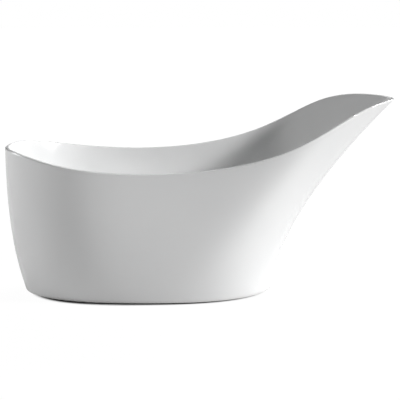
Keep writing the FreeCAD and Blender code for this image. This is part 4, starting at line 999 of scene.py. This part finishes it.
def studSurface(centre, columns=24):
    # one closed stack of rows: tip, lower thread, hexagon with its cones, upper thread, tip
    angle = np.arange(columns) / columns * 2 * np.pi
    low, high, corner = (footStud["hexagon"][k] for k in ("low", "high", "corner"))
    flat = corner * math.cos(math.pi / 6)
    coneStart, bevel = 0.96, np.array([0, 0.0003, 0.0007])
    sides = np.concatenate([low + bevel, high - bevel[::-1]])
    cone = flat * coneStart + coneRise * np.minimum(sides - low, high - sides)
    hexagon = np.minimum(hexagonRadius(corner, angle)[None, :], cone[:, None])
    ring = np.ones((1, columns))

    def threaded(thread):
        rows = threadRows(thread)
        return threadShape(thread)(rows[:, :1], rows[:, 1:], angle[None, :]) * ring, rows[:, 1]

    lowerRadii, lowerHeights = threaded(footStud["lowerThread"])
    upperRadii, upperHeights = threaded(footStud["upperThread"])
    tip = footStud["tip"] * ring
    radius = np.concatenate([0 * ring, tip, lowerRadii, hexagon, upperRadii, tip, 0 * ring])
    height = np.concatenate([[footStud["low"]] * 2, lowerHeights, sides, upperHeights,
                             [footStud["high"]] * 2])[:, None] * ring
    points = np.stack([radius * np.cos(angle), radius * np.sin(angle), height], -1)
    return points.reshape(-1, 3) + np.asarray(centre), gridFaces(len(radius), columns, False, True)


nuts = {"weldNuts": {"low": 0.072, "high": 0.080, "corner": 0.011, "bore": 0.00606, "chamfer": 0.0008,
                     "node": "weld_nuts"},
        "lockNuts": {"low": 0.062, "high": 0.070, "corner": 0.011, "bore": 0.00606, "chamfer": 0.0008,
                     "node": "lock_nuts"}}
for number, place in feet.items():
    addPiece(f"footPad{number}", [turnedSurface(padProfile(footPad), place, 64)], materials["blackPlastic"],
             f"foot_{number}", [f"foot_pad_{number}"])
    addPiece(f"footStud{number}", [studSurface(place)], materials["galvanised"], f"stud_{number}",
             [f"foot_stud_{number}"])
for name, nut in nuts.items():
    addPiece(name, [nutSurface(nut, place, 48) for place in feet.values()], materials["galvanised"],
             "root", [nut["node"]])
print("feet made")


# floor and light

studio = {
    # the glow is light that the floor gives off, the lift is plain white that only the camera sees
    "floorSize": 30, "floorColour": (0.5, 0.5, 0.5, 1), "floorGlow": 0.25, "floorLift": 0.9,
    "liftGlow": 1.05, "ambient": 0.01, "background": 1.0,
    # outline of the shade under the skirt: centre, half length and half width, then how soft
    "shade": (-0.244, 0.560, 0.330), "shadeFade": (0.95, 1.0), "shadePower": 2.5,
    # direction, height and apparent width in degrees, and the brightness of a white face square to it
    "lamps": {
        "key": (-15.5, 26.5, 8, 0.90), "back": (60, 25, 30, 0.78), "backHigh": (45, 50, 40, 0.07),
        "rear": (90, 25, 30, 0.05), "leftLow": (160, 4, 20, 0.38), "left": (180, 25, 30, 0.10),
        "near": (-80, 4, 20, 0.09), "ceiling": (0, 88, 75, 0.22),
    },
    "onlyReflected": ("ceiling",),   # panel that shows in gloss and lights nothing
}

floorMesh = bpy.data.meshes.new("studioFloor")
far = studio["floorSize"]
floorMesh.from_pydata([(-far, -far, 0), (far, -far, 0), (far, far, 0), (-far, far, 0)], [],
                      [(0, 1, 2, 3)])
studioFloor = bpy.data.objects.new("studioFloor", floorMesh)
scene.collection.objects.link(studioFloor)
floorMaterial, nodes, links, shader = newMaterial("studioFloor")
shader.inputs["Base Color"].default_value = studio["floorColour"]
floorMesh.materials.append(floorMaterial)
place = nodes.new("ShaderNodeTexCoord")
parts = nodes.new("ShaderNodeSeparateXYZ")
links.new(place.outputs["Object"], parts.inputs[0])


def floorMath(operation, first, second):
    # one step of arithmetic on the floor's material, on numbers or sockets
    step = nodes.new("ShaderNodeMath")
    step.operation = operation
    for socket, value in zip(step.inputs, (first, second)):
        if isinstance(value, (int, float)):
            socket.default_value = value
        else:
            links.new(value, socket)
    return step.outputs[0]


# distance from the middle of the tub's base, 1 on its outline: (|x|^power + |y|^power)^(1/power)
shadeX, shadeLong, shadeWide = studio["shade"]
across = floorMath("DIVIDE", floorMath("SUBTRACT", parts.outputs["X"], shadeX), shadeLong)
along = floorMath("DIVIDE", parts.outputs["Y"], shadeWide)
power = studio["shadePower"]
acrossPower = floorMath("POWER", floorMath("ABSOLUTE", across, 0), power)
alongPower = floorMath("POWER", floorMath("ABSOLUTE", along, 0), power)
outline = floorMath("POWER", floorMath("ADD", acrossPower, alongPower), 1 / power)
# painted shade: inside the outline the floor neither glows nor is lifted to white, so it stays darker under
# the skirt
openFloor = mapped(nodes, links, outline, studio["shadeFade"][0], studio["shadeFade"][1], 0.0, 1.0)
paper = objectNoise(nodes, links, 40.0, 3.0)
links.new(mapped(nodes, links, paper, 0.3, 0.7, 0.86, 0.94), shader.inputs["Roughness"])
shader.inputs["Emission Color"].default_value = (1, 1, 1, 1)
links.new(floorMath("MULTIPLY", openFloor, studio["floorGlow"]), shader.inputs["Emission Strength"])
lift = nodes.new("ShaderNodeEmission")
lift.inputs["Strength"].default_value = studio["liftGlow"]
rays = nodes.new("ShaderNodeLightPath")
liftShare = floorMath("MULTIPLY", floorMath("MULTIPLY", rays.outputs["Is Camera Ray"], openFloor),
                      studio["floorLift"])
floorMix = nodes.new("ShaderNodeMixShader")
links.new(liftShare, floorMix.inputs["Fac"])
links.new(shader.outputs["BSDF"], floorMix.inputs[1])
links.new(lift.outputs["Emission"], floorMix.inputs[2])
links.new(floorMix.outputs["Shader"], nodes["Material Output"].inputs["Surface"])

world = bpy.data.worlds.new("studio")
scene.world = world
world.use_nodes = True
nodes, links = world.node_tree.nodes, world.node_tree.links
nodes["Background"].inputs["Strength"].default_value = studio["ambient"]
nodes["Background"].inputs["Color"].default_value = (1, 1, 1, 1)
seen = nodes.new("ShaderNodeBackground")
seen.inputs["Color"].default_value = (1, 1, 1, 1)
seen.inputs["Strength"].default_value = studio["background"]
rays = nodes.new("ShaderNodeLightPath")
worldMix = nodes.new("ShaderNodeMixShader")
links.new(rays.outputs["Is Camera Ray"], worldMix.inputs["Fac"])
links.new(nodes["Background"].outputs["Background"], worldMix.inputs[1])
links.new(seen.outputs["Background"], worldMix.inputs[2])
links.new(worldMix.outputs["Shader"], nodes["World Output"].inputs["Surface"])

for name, (azimuth, elevation, width, strength) in studio["lamps"].items():
    lamp = bpy.data.lights.new(name, "SUN")
    lamp.energy = strength * math.pi
    lamp.angle = math.radians(width)
    lampObject = bpy.data.objects.new(name, lamp)
    lampObject.rotation_euler = (math.pi / 2 - math.radians(elevation), 0,
                                 math.radians(azimuth) + math.pi / 2)
    lampObject.visible_diffuse = name not in studio["onlyReflected"]
    scene.collection.objects.link(lampObject)
scene.view_settings.view_transform = "Standard"
print("studio lit")
